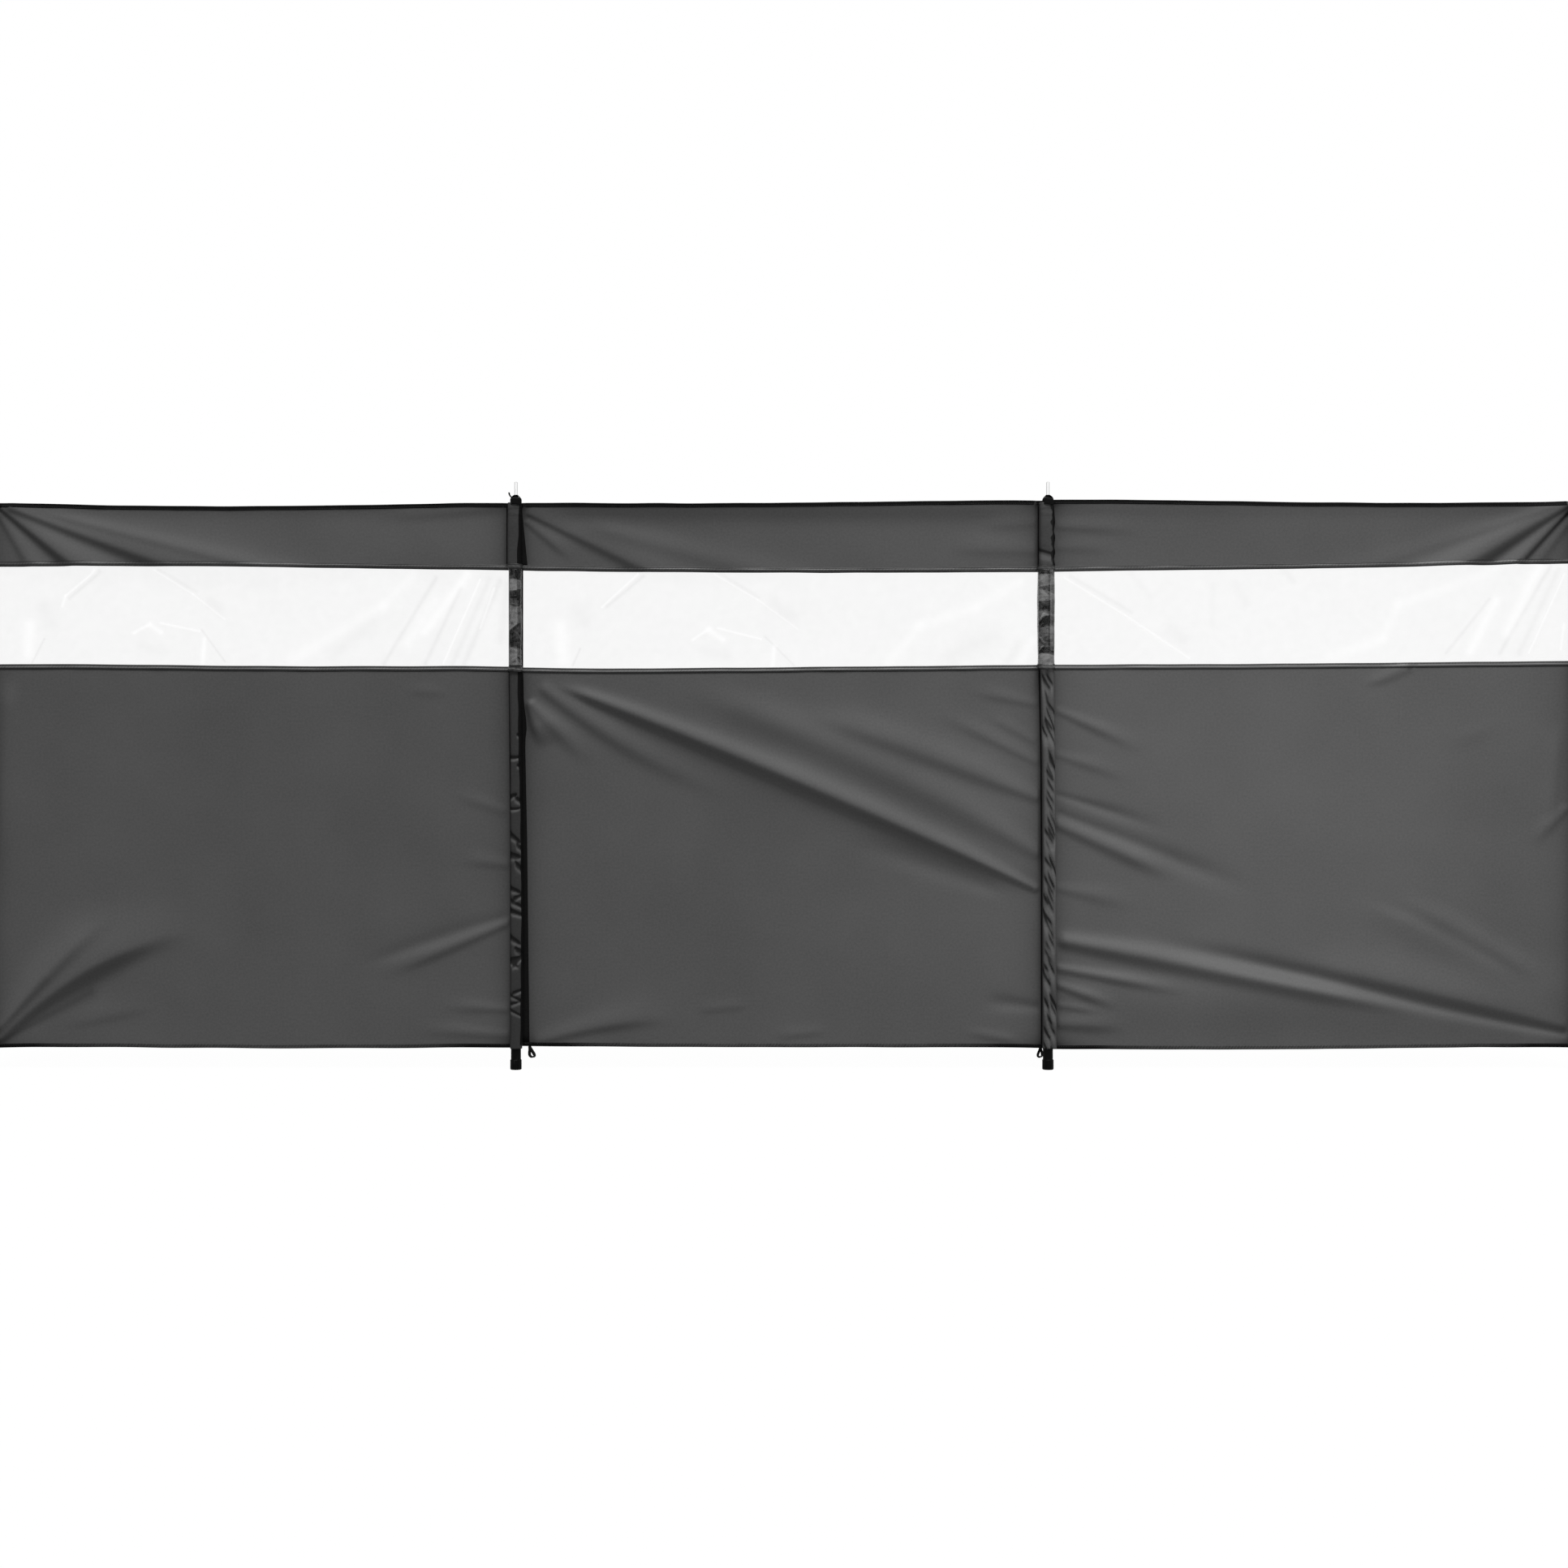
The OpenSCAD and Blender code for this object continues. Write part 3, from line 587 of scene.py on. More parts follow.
CREASE_FADE = 0.2
START_WIDTH, WIDTH_LOSS = 1.4, 0.8
SLEEVE_TOP = [Crease(1434, 3, 1.2, 3, 2, bow=2), Crease(1418, -4, 0.8, 8, 2, -0.6, 0.6)]


def creased(across, z, creases, share=1.0):
    """Sum of ridges and valleys across the strip: each leans and bows, has a width above and one below,
    both times the share, narrows from its start to its end, and fades towards both."""
    bulge = np.zeros_like(z)
    for crease in creases:
        from_crest = z - (crease.level + crease.lean * across + crease.bow * (1 - 4 * across**2)) * MM
        progress = np.clip((across - crease.start) / (crease.end - crease.start), 0, 1)
        taper = START_WIDTH - WIDTH_LOSS * progress
        width = np.where(from_crest > 0, crease.above, crease.below) * MM * share * taper
        reach = smooth((across - crease.start) / CREASE_FADE) * smooth((crease.end - across) / CREASE_FADE)
        bulge += crease.height * MM * np.exp(-0.5 * (from_crest / width) ** 2) * reach
    return bulge


print("kinks of one sleeve:", len(KINKS))

# %% Twisted sleeves
TWIST_START = (-0.6, -0.05)
LEAST_SLANT = 30
TWIST_LIMITS = {"moved": (-6, 6), "leaned": (0.7, 1.25), "deep": (0.45, 1), "above": (0.06, 0.1),
                "below": (0.16, 0.3), "length": (0.4, 0.8), "bow": (-5, 5)}


def twists(seed, levels, lean, depth):
    """Slanting valleys with seeded lean, depth and length: steep above and broad below. The more they
    lean, the wider they are along the pole."""
    slant = LEAST_SLANT + abs(lean)
    draw = np.random.default_rng(seed)
    valleys = []
    for level, start in zip(levels, draw.uniform(*TWIST_START, len(levels))):
        own = {name: draw.uniform(*limits) for name, limits in TWIST_LIMITS.items()}
        valleys.append(Crease(level + own["moved"], lean * own["leaned"], -depth * own["deep"],
                              own["above"] * slant, own["below"] * slant, start, start + own["length"],
                              own["bow"]))
    return valleys


CREASES = {1: twists(401, range(100, 1000, 70), -8, 1.8) + SLEEVE_TOP,
           2: KINKS + SLEEVE_TOP,
           3: twists(403, range(40, 1050, 23), -85, 5) + [Crease(1322, -14, -2.4, 8, 12)] + SLEEVE_TOP,
           4: twists(404, range(90, 1030, 44), -40, 2.4) + SLEEVE_TOP}
STAND_OFF = {1: 2.0, 2: 3.4, 3: 5.2, 4: 2.6}
MOUTH_FADE = 60 * MM
SLOW_WAVE, WAVE_RATE, WAVE_LEAN = 0.3 * MM, 21, 2


def sleeve_bulge(k, across, z):
    """How far a sleeve stands off its tube: an even stand-off that closes at the mouth, a slow wave,
    and the creases, which end at the tube."""
    off = STAND_OFF[k] * MM * smooth((top_hem_low_z - z) / MOUTH_FADE)
    wave = SLOW_WAVE * (1 + np.sin(z * WAVE_RATE + WAVE_LEAN * across + k))
    return np.maximum(off + wave + creased(across, z, CREASES[k]), 0)


print("creases of each sleeve:", {k: len(creases) for k, creases in CREASES.items()})

# %% Painted shade in the valleys and painted highlights on the lips
# Painted shade in each valley (share of its width, depth for full shade), a painted highlight on the lip
# below (share, drop), an even painted shade for each sleeve by height, and a flank painted dark as shade.
CREVICE = {1: (0.5, 2.0), 2: (0.7, 1.1), 3: (0.25, 1.9), 4: (0.4, 2.0)}
LIP = {1: (0.5, 5), 2: (0.7, 5), 3: (0.5, 16), 4: (0.5, 8)}
SLEEVE_SHADE = {1: ((54, 0.7), (1454, 0.7)), 2: ((54, 1.1), (1018, 1.05), (1291, 0.85)),
            3: ((54, 0.65), (230, 0.55), (330, 0.4), (1018, 0.35), (1032, 0.6), (1291, 0.75)),
            4: ((54, 0.6), (1454, 0.7))}
NO_FLANK = ((0, 9),)
FLANK = {3: ((54, 0.5), (1018, 0.45), (1291, 0.24), (1454, 0.26))}
FLANK_EDGE, FLANK_SHADE = 0.06, 1.4
SCALLOPS = ((0.05, 7), (0.03, 3.1))
DARKEST = 1.5


def sleeve_painted_shade(k, across, z):
    """Painted shade: an even share for each height of the sleeve, more in the creases and on a flank that
    lies in shade, and less on the lip under each crease, where it leaves a painted highlight."""
    share, depth = CREVICE[k]
    crevice = np.clip(-creased(across, z, CREASES[k], share) / (depth * MM), 0, DARKEST)
    lip_share, drop = LIP[k]
    lip = np.clip(-creased(across, z + drop * MM, CREASES[k], lip_share) / (depth * MM), 0, 1)
    scallop = sum(wide * np.sin(z / MM / length) for wide, length in SCALLOPS)
    flank_start = np.interp(z / MM, *np.array(FLANK.get(k, NO_FLANK)).T)
    flank = smooth((across - flank_start - scallop) / FLANK_EDGE)
    return np.interp(z / MM, *np.array(SLEEVE_SHADE[k]).T) * (1 - lip) + crevice + FLANK_SHADE * flank


print("poles with a flank in shade:", list(FLANK))

# %% Make the sleeves
SLEEVE_GRID = {1: (280, 23), 2: (480, 29), 3: (450, 39), 4: (280, 23)}
sleeve_top_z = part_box("sleeve_1")[1].z

for k in range(1, pole_count + 1):
    rows, columns = SLEEVE_GRID[k]
    across, z = np.meshgrid(np.linspace(-1, 1, columns), np.linspace(bottom_z, sleeve_top_z, rows))
    surface = sleeve_surface(k, across, z, sleeve_bulge(k, across, z))
    strip = Patch(surface, np.dstack([across * strip_w / 2, z]))
    # The field paints shade and highlights into the sleeve's colour.
    sleeve = add_piece(f"cloth_sleeve_{k}", [strip], "sleeve cloth", [f"sleeve_{k}"],
                       SLEEVE_THICKNESS, {"soil": sleeve_painted_shade(k, across, z)})
    print(sleeve.name, "creases:", len(CREASES[k]))

# %% [markdown]
# ## Film on the sleeves
# Across the window the film runs on round each sleeve. It is stiff, so it breaks into a few flat facets
# with sharp edges: those that look up are pale, those that look down dark, and some edges glint. Each
# facet is a band between two slanting lines with a tone, and the tone, added up over the height, gives
# the bulge: where the film is pale it leans back as it rises. The tone also goes to the finish as a
# field that paints the facets' highlights and shade, and the glints.

# %% Painted facets of the film, and painted glints from one place across and height to another, with their tone
FACET_TILT = 0.1
FACET_EDGE = 1.6 * MM
GLINT_WIDTH = 1.2
FILM_SEAM, FILM_SEAM_EDGE = 0.14, 0.02
Band = namedtuple("Band", "low lean bow tone")
BANDS = {2: (Band(1249, -4, 3, -0.9), Band(1227, 5, -4, 0.85), Band(1191, -6, -9, -0.7),
             Band(1146, 4, 5, 0.5), Band(1126, 34, 6, 0.9), Band(1074, -5, 4, -0.8), Band(1000, 0, 0, 0.55)),
         3: (Band(1261, -6, 4, -0.7), Band(1233, 8, 3, 0.4), Band(1222, -22, 0, -0.4),
             Band(1200, 6, -3, 0.7), Band(1165, -8, 5, -0.8), Band(1147, 14, 12, 0.1),
             Band(1125, 10, 8, -0.9), Band(1108, -6, 0, -0.1), Band(1082, 9, -4, -0.45),
             Band(1057, -7, 6, -1.0), Band(1000, 0, 0, 0.7))}
GLINTS = {2: ((0.14, 1188, 0.15, 1142, 1), (0.14, 1115, 0.5, 1096, 1.2), (0.14, 1070, 0.15, 1036, 0.9),
              (-0.36, 1190, 0.12, 1189, 0.7), (-0.36, 1146, -0.05, 1135, -0.9),
              (-0.3, 1136, -0.34, 1122, 0.8), (-0.36, 1078, 0.1, 1071, 0.8), (0.2, 1052, 0.34, 1048, -1.5),
              (0.3, 1272, 0.4, 1266, -1), (-0.3, 1066, -0.2, 1069, -1.2), (0.12, 1046, 0.4, 1030, 0.9),
              (-0.1, 1040, 0, 1042, -1), (-0.1, 1218, -0.05, 1210, -0.6), (-0.28, 1201, -0.18, 1200, 0.8)),
          3: ((-0.34, 1248, -0.24, 1254, 1.4), (-0.33, 1146, -0.15, 1165, 1.2),
              (-0.15, 1165, 0.06, 1160, 1.1), (-0.33, 1130, -0.16, 1141, 1.1),
              (-0.34, 1106, -0.12, 1090, 1.4), (-0.35, 1071, -0.18, 1082, 1.4),
              (-0.24, 1268, -0.14, 1266, -1.2), (-0.15, 1225, 0.1, 1212, -0.9),
              (-0.05, 1199, 0.06, 1200, -1.4), (-0.1, 1183, -0.08, 1178, -1), (-0.3, 1140, -0.12, 1152, -1),
              (-0.2, 1131, -0.1, 1140, -1.2), (0.16, 1245, 0.18, 1100, 0.6), (0.12, 1262, 0.12, 1070, -0.9),
              (-0.2, 1076, 0.3, 1066, -1.4))}
RIGHT_STRIP, FACET_LOSS = {2: -0.45, 3: 0.3}, 0.4


def film_facets(across, z, like):
    """Painted light and shade: the tone of the band that a point lies in, of the strip beyond the seam, and
    the painted glints. Bulge: the running sum of the bands' tones, levelled so that it ends where it starts."""
    bands = BANDS[like]
    tone = np.full_like(z, bands[0].tone)
    for upper, lower in zip(bands, bands[1:]):
        edge = (upper.low + upper.lean * across + upper.bow * (1 - 4 * across**2)) * MM
        tone += (lower.tone - upper.tone) * smooth((edge - z) / FACET_EDGE + 0.5)
    leaned = tone - tone.mean(axis=0)
    bulge = -FACET_TILT * np.cumsum(leaned * np.gradient(z, axis=0), axis=0)
    beyond = smooth((across - FILM_SEAM) / FILM_SEAM_EDGE)
    haze_and_painted_light = tone * (1 - FACET_LOSS * beyond) + RIGHT_STRIP[like] * beyond
    half_w = strip_w / 2 / MM
    lines = sum(shine * near_line(across * half_w, z / MM, (left * half_w, left_z),
                                  (right * half_w, right_z), GLINT_WIDTH, GLINT_WIDTH)
                for left, left_z, right, right_z, shine in GLINTS[like])
    return bulge - bulge.min(), haze_and_painted_light + lines


print("facets and glints:", {k: (len(BANDS[k]), len(GLINTS[k])) for k in BANDS})

# %% Film laid round the sleeves; the end poles repeat the facets of the middle ones
FILM_SLEEVE_GRID = {1: (80, 25), 2: (150, 37), 3: (150, 37), 4: (80, 25)}
FILM_SLEEVE_GROW = 2.0 * MM
FACETS_OF = {1: 3, 2: 2, 3: 3, 4: 2}
film_wraps, film_painted_light = [], []
for k in range(1, pole_count + 1):
    rows, columns = FILM_SLEEVE_GRID[k]
    across, z = np.meshgrid(np.linspace(-1, 1, columns), np.linspace(film_low_z, film_high_z, rows))
    bulge, haze_and_painted_light = film_facets(across, z, FACETS_OF[k])
    wrap = sleeve_surface(k, across, z, bulge + STAND_OFF[k] * MM, FILM_SLEEVE_GROW)
    film_wraps.append(Patch(wrap, np.dstack([across * strip_w / 2, z])))
    film_painted_light.append(haze_and_painted_light.ravel())
# The field paints the facets' highlights and shade and the glints into the film's colour.
film_sleeves = add_piece("film_window_sleeves", film_wraps, "film on cloth",
                         ["window_sleeves"], FILM_THICKNESS, {"haze_and_painted_light": np.concatenate(film_painted_light)})
print("film sleeves:", len(film_wraps))

# %% [markdown]
# ## Tapes along the edges
# The upper hem is a flat black tape folded over the cloth; the lower one is grey, and painted shade
# darkens it towards the poles. The window's tapes are satin ones with a bead that catches the light over
# a dark edge. Each is a closed profile carried along the bay: every station moves it up or down with the
# edge curve and out with the cloth. A field tells the finish how pale the tape is over its height: partly
# the tape's own tones, and partly a painted highlight along the bead and painted shade under it.

# %% Profiles
TAPE_STEP = 13 * MM
HEM_HALF_T, EDGE_HALF_T = 1.5 * MM, 0.2 * MM
PROFILE_POINTS, FLATNESS = 15, 8
WANDER, WANDER_LENGTH = 1.2 * MM, 0.25
PUFF, PUFF_LENGTH, PUFF_SEED = 0.5, 0.12, 5


def flat_profile(height, half_t, bead=()):
    """A closed outline of front and back depth over height: flat faces with rounded edges, and beads,
    each a round swelling of the front at a share of the height."""
    share = np.linspace(0, 1, PROFILE_POINTS)
    face = half_t * (1 - np.abs(2 * share - 1) ** FLATNESS) ** 0.5 + EDGE_HALF_T
    front = face.copy()
    for centre, width, swell in bead:
        front += swell * np.exp(-(((share - centre) / width) ** 2))
    depth = np.concatenate([-front[::-1], face])
    level = np.concatenate([share[::-1], share]) * height
    return depth, level


def carry_tape(bay, low_z, curve, profile, folds, seed, start_x, end_x):
    """Carries a closed profile from start to end: along the edge curve, out with the cloth, and with a
    small seeded wander."""
    depth, level = profile
    stations = np.linspace(start_x, end_x, 2 + round((end_x - start_x) / TAPE_STEP))
    rise = curve((stations - pole_x[bay]) / pitch)
    rise = rise + slack(stations, np.zeros_like(stations), seed, WANDER, WANDER_LENGTH)
    puff = 1 + slack(stations, np.ones_like(stations), seed + PUFF_SEED, PUFF, PUFF_LENGTH)
    x = np.repeat(stations[:, None], len(depth), axis=1)
    z = low_z + level[None] + rise[:, None]
    y = cloth_y - cloth_out(x, z, bay, folds) + depth[None] * puff[:, None]
    loop = np.append(np.cumsum(np.abs(np.diff(level, prepend=level[:1]))), 2 * level.max())
    run = np.repeat(stations[:, None], len(loop), axis=1)
    uv = np.dstack([run, np.repeat(loop[None], len(stations), axis=0)])
    return Patch(np.dstack([x, y, z]), uv, True, True)


def tape_row(name, node, curves, folds, tape, finish, seed):
    """One tape for each bay, all in one piece that stands for the frame's tape."""
    low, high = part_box(node)
    profile = flat_profile(high.z - low.z, HEM_HALF_T, tape.beads)
    pale = np.interp(profile[1] / (high.z - low.z), *np.array(tape.pale).T)
    patches, tones = [], []
    for bay in range(bay_count):
        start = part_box(f"lower_panel_{bay + 1}")[0].x
        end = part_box(f"lower_panel_{bay + 1}")[1].x
        patches.append(carry_tape(bay, low.z, curves[bay], profile, folds, seed + 10 * bay, start, end))
        stations = patches[-1].points[:, 0, 0]
        to_pole = np.minimum(stations - pole_x[bay], pole_x[bay + 1] - stations)
        # Painted shade darkens the tape towards each pole.
        near = np.maximum(1 - tape.near_pole * np.exp(-np.maximum(to_pole, 0) / POLE_SHADE_REACH), 0)
        tones.append(np.outer(near, pale * tape.bays[bay]).ravel())
    add_piece(name, patches, finish, [node], fields={"pale": np.concatenate(tones)})
    print(name, "lengths:", len(patches))


# %% Hems and window tapes
binding_h = film_low_z - lower_top_z
POLE_SHADE_REACH = 130 * MM
# Tapes: beads, paleness over the height, a factor for each bay, and painted shade towards the poles. On the
# window tapes the paleness is partly their own tone and partly painted highlight and shade.
Tape = namedtuple("Tape", "beads pale bays near_pole", defaults=((), ((0, 1), (1, 1)), (1, 1, 1), 0))
WINDOW_TOP = Tape(((0.55, 0.13, 1.2 * MM),),
                  ((0, 0), (0.28, 0.05), (0.4, 0.9), (0.66, 0.9), (0.78, 0.25), (1, 0.2)), (0.75, 0.9, 0.9))
WINDOW_BOTTOM = Tape(((0.42, 0.15, 1.6 * MM),),
                     ((0, 0), (0.24, 0), (0.34, 1.3), (0.6, 1.3), (0.68, 0.4), (0.95, 0.35), (1, 0.5)),
                     (0.8, 0.9, 1.4))
UPPER_HEM = Tape(((0.92, 0.08, 0.5 * MM),))
LOWER_HEM = Tape((), ((0, 0.3), (0.3, 0.75), (0.8, 0.9), (1, 0.7)), (0.9, 1, 1), 2.6)
tape_row("top_edge_tape", "top_hem", top_rise, UPPER_FOLDS, UPPER_HEM,
         "black webbing", 600)
tape_row("bottom_edge_tape", "bottom_hem", bottom_rise, LOWER_FOLDS, LOWER_HEM,
         "hem tape", 640)
tape_row("window_top_tape", "window_top_binding", film_high_rise, UPPER_FOLDS, WINDOW_TOP,
         "grey tape", 680)
tape_row("window_bottom_tape", "window_bottom_binding", film_low_rise, LOWER_FOLDS, WINDOW_BOTTOM,
         "grey tape", 720)

# %% [markdown]
# ## Tape ends over the sleeves
# Where a window tape reaches a pole it runs on over the sleeve, and the tape of the next bay starts a
# few millimetres higher or lower. Each end is half a sleeve's arch, as high as the tape.

# %% Half bands on the sleeves
BAND_ROWS, BAND_COLUMNS = 13, 22
BAND_GROW, BAND_LIFT = 3.6 * MM, 0.4 * MM
BAND_OVERLAP = 0.06
BAND_SWELL, BAND_PALE = 0.6, 0.6
BAND_THICKNESS = 0.9 * MM


def half_band(k, end, low_z, height, tape):
    """The sleeve's arch from its middle to one foot, over the tape's height, with the tape's bead."""
    side = -1 if end else 1
    run = np.linspace(-BAND_OVERLAP, 1, BAND_COLUMNS) * side
    across, share = np.meshgrid(run, np.linspace(0, 1, BAND_ROWS))
    swell = sum(high * np.exp(-(((share - centre) / width) ** 2)) for centre, width, high in tape.beads)
    z = low_z + height + share * binding_h
    lift = BAND_LIFT if end else 0.0
    points = sleeve_surface(k, across, z, STAND_OFF[k] * MM + BAND_SWELL * swell, BAND_GROW + lift)
    if side < 0:
        points, across = points[:, ::-1], across[:, ::-1]
    return Patch(points, np.dstack([across * strip_w / 2, z])), np.interp(share, *np.array(tape.pale).T)


for name, low_z, curves, tape in (("window_top_tape_ends", film_high_z, film_high_rise, WINDOW_TOP),
                                  ("window_bottom_tape_ends", lower_top_z, film_low_rise, WINDOW_BOTTOM)):
    halves = [half_band(bay + 1 + end, end, low_z, curves[bay](end), tape)
              for bay in range(bay_count) for end in (0, 1)]
    halves.append(half_band(1, 1, low_z, curves[0](0), tape))
    halves.append(half_band(pole_count, 0, low_z, curves[-1](1), tape))
    pale = np.concatenate([BAND_PALE * tones.ravel() for _, tones in halves])
    add_piece(name, [half for half, _ in halves], "grey tape", (), BAND_THICKNESS,
              {"pale": pale})
    print(name, "halves:", len(halves))

# %% [markdown]
# ## Seam tapes
# Behind each sleeve a black tape covers the seam between two bays. It shows as a dark line beside the
# sleeve. Where the sleeve throws shadow, the strip is made wider to paint it: on one pole it widens
# towards the ground and laps over the sleeve's side.

# %% Black strips beside the sleeves
TAPE_LIFT = 0.9 * MM
SEAM_THICKNESS = 0.6 * MM
SEAM_ROWS, SEAM_COLUMNS = 40, 5
SEAM_RIPPLE, RIPPLE_RATE = 0.3 * MM, 90
stretches = ((hem_top_z, lower_top_z), (lower_top_z, upper_low_z), (upper_low_z, top_hem_low_z))
share, across = np.meshgrid(np.linspace(0, 1, SEAM_ROWS), np.linspace(0, 1, SEAM_COLUMNS), indexing="ij")
seam_patches = []
for k in range(1, pole_count + 1):
    for low_z, high_z in stretches:
        z = low_z + share * (high_z - low_z)
        left, right = strip_reach(k, -1, z), strip_reach(k, 1, z)
        x = pole_x[k - 1] - left + across * (left + right)
        y = np.full_like(x, cloth_y - TAPE_LIFT) + SEAM_RIPPLE * np.sin(z * RIPPLE_RATE + k) * across
        seam_patches.append(Patch(np.dstack([x, y, z]), np.dstack([x, z])))
print("strips behind the sleeves:", len(seam_patches))

# %% The strip that laps over a sleeve and paints the shadow on its side
LAPPED_POLE = 2
LAP_GROW = 0.9 * MM
LAP_EDGES = (((64, 0.3), (400, 0.324), (670, 0.31), (797, 0.227), (981, 0.195), (1018, 0.17)),
             ((1291, 0.175), (1443, 0.29)))
LAP_ROWS, LAP_COLUMNS = 160, 15
LAP_WAVER, WAVER_RATE = 0.02, 70


def lap_over_sleeve(edge):
    """The part of the strip on the sleeve, a black sheet that paints its shadow: its arch from an edge that
    leans, down to the right foot.
    """
    heights, places = np.array(edge).T
    levels = np.linspace(heights[0], heights[-1], LAP_ROWS) * MM
    z, run = np.meshgrid(levels, np.linspace(0, 1, LAP_COLUMNS), indexing="ij")
    inner = np.interp(z, heights * MM, places) + LAP_WAVER * np.sin(z * WAVER_RATE)
    across = inner + run * (1 - inner)
    surface = sleeve_surface(LAPPED_POLE, across, z, sleeve_bulge(LAPPED_POLE, across, z), LAP_GROW)
    return Patch(surface, np.dstack([across * strip_w / 2, z]))


seam_patches += [lap_over_sleeve(edge) for edge in LAP_EDGES]
add_piece("seam_strips", seam_patches, "black webbing", ["seam_tapes"], SEAM_THICKNESS)
print("seam strips:", len(seam_patches))

# %% [markdown]
# ## Webbing over the pole tops
# A short strap of webbing goes over each pole's top and keeps the sleeve from sliding down. The
# spigot's boss passes through it. The strap is made of two halves, front and back, whose inner edges
# open round the boss, so the eyelet is part of the surface and needs no boolean. Under it a second
# layer of webbing is folded over the sleeve's mouth like a hood.

# %% Straps
STRAP_THICKNESS = 1.5 * MM
STRAP_ROWS, STRAP_COLUMNS = 75, 7
STRAP_WAVE = 0.5 * MM
EYELET_R = 6.3 * MM
strap_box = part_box("top_strap_1")
strap_half_w = (strap_box[1].y - strap_box[0].y) / 2
strap_r = (strap_box[1].x - strap_box[0].x) / 2 - STRAP_THICKNESS / 2
strap_leg = top_z - strap_box[0].z


def strap_half(k, side):
    """Up one leg, over a half circle and down the other leg; the inner edge follows the eyelet."""
    arc = math.pi * strap_r
    run = np.linspace(-strap_leg - arc / 2, strap_leg + arc / 2, STRAP_ROWS)
    turn = np.clip(run / strap_r, -math.pi / 2, math.pi / 2)
    fallen = np.maximum(np.abs(run) - arc / 2, 0)
    hole = np.sqrt(np.maximum(EYELET_R**2 - run**2, 0))
    share = np.linspace(0, 1, STRAP_COLUMNS)
    inner, outer = hole[:, None], np.full_like(hole, strap_half_w)[:, None]
    y = side * (inner + share[None] * (outer - inner))
    x = np.repeat((strap_r * np.sin(turn))[:, None], STRAP_COLUMNS, axis=1)
    z = np.repeat((top_z + strap_r * np.cos(turn) - fallen)[:, None], STRAP_COLUMNS, axis=1)
    x = x + STRAP_WAVE * np.sin(3 * turn[:, None] + k) * (1 - share)
    along = np.repeat(run[:, None], STRAP_COLUMNS, axis=1)
    return Patch(np.dstack([x + pole_x[k - 1], y, z]), np.dstack([along, y]))


print("strap radius", round(strap_r / MM, 2), "mm")

# %% Hoods
HOOD_HALF_W, HOOD_DEPTH, HOOD_WALL, HOOD_DOME = 13.6 * MM, 14.8 * MM, 12 * MM, 7 * MM
HOOD_TURN = math.radians(115)
HOOD_MOUTH = 0.45
HOOD_ROWS, HOOD_COLUMNS = 13, 41
HOOD_WAVE = 1 * MM


def hood(k):
    """A squarish oval: the lower half of its height is upright, the upper one curves in to the boss."""
    turn, rise = np.meshgrid(np.linspace(-HOOD_TURN, HOOD_TURN, HOOD_COLUMNS), np.linspace(0, 1, HOOD_ROWS))
    side, front = squarish_oval(turn)
    over = np.clip(2 * rise - 1, 0, 1) * math.pi / 2
    shrink = 1 - (1 - HOOD_MOUTH) * (1 - np.cos(over))
    wall = np.minimum(2 * rise, 1) * HOOD_WALL
    z = top_hem_low_z + wall + HOOD_DOME * np.sin(over) + HOOD_WAVE * np.sin(3 * turn + k)
    points = np.dstack([pole_x[k - 1] + HOOD_HALF_W * shrink * side, HOOD_DEPTH * shrink * front, z])
    return Patch(points, np.dstack([turn * HOOD_HALF_W, z]))


for k in range(1, pole_count + 1):
    add_piece(f"webbing_strap_{k}", [strap_half(k, -1), strap_half(k, 1), hood(k)], "black webbing",
              [f"top_strap_{k}"], STRAP_THICKNESS)
print("straps with hoods:", pole_count)

# %% [markdown]
# ## Peg loops
# A loop of narrow webbing hangs from the lower edge beside each pole. Its path is a drop shape that
# leans and turns a little, and a flat rounded section is carried along it.

# %% A flat section carried along a path
RIBBON_SIDES = 12
BLUNT_W, BLUNT_T = 0.35, 0.6


def carry_ribbon(path, wide, half_w, half_t):
    """Carries a rounded flat section along a path: wide is the direction of its width at each point,
    and its thickness is square to both."""
    ahead = np.gradient(path, axis=0)
    ahead /= np.linalg.norm(ahead, axis=1, keepdims=True)
    wide = wide - ahead * np.sum(wide * ahead, axis=1, keepdims=True)
    wide /= np.linalg.norm(wide, axis=1, keepdims=True)
    thick = np.cross(ahead, wide)
    turn = np.linspace(0, 2 * math.pi, RIBBON_SIDES, endpoint=False)
    u = np.sign(np.cos(turn)) * np.abs(np.cos(turn)) ** BLUNT_W * half_w
    v = np.sign(np.sin(turn)) * np.abs(np.sin(turn)) ** BLUNT_T * half_t
    points = path[:, None] + u[None, :, None] * wide[:, None] + v[None, :, None] * thick[:, None]
    run = np.cumsum(np.linalg.norm(np.diff(path, axis=0, prepend=path[:1]), axis=1))
    loop = np.append(np.cumsum(np.hypot(np.diff(u, prepend=u[:1]), np.diff(v, prepend=v[:1]))), 2 * half_w)
    uv = np.dstack([np.repeat(run[:, None], len(loop), axis=1), np.repeat(loop[None], len(run), axis=0)])
    return Patch(points, uv, True, True)


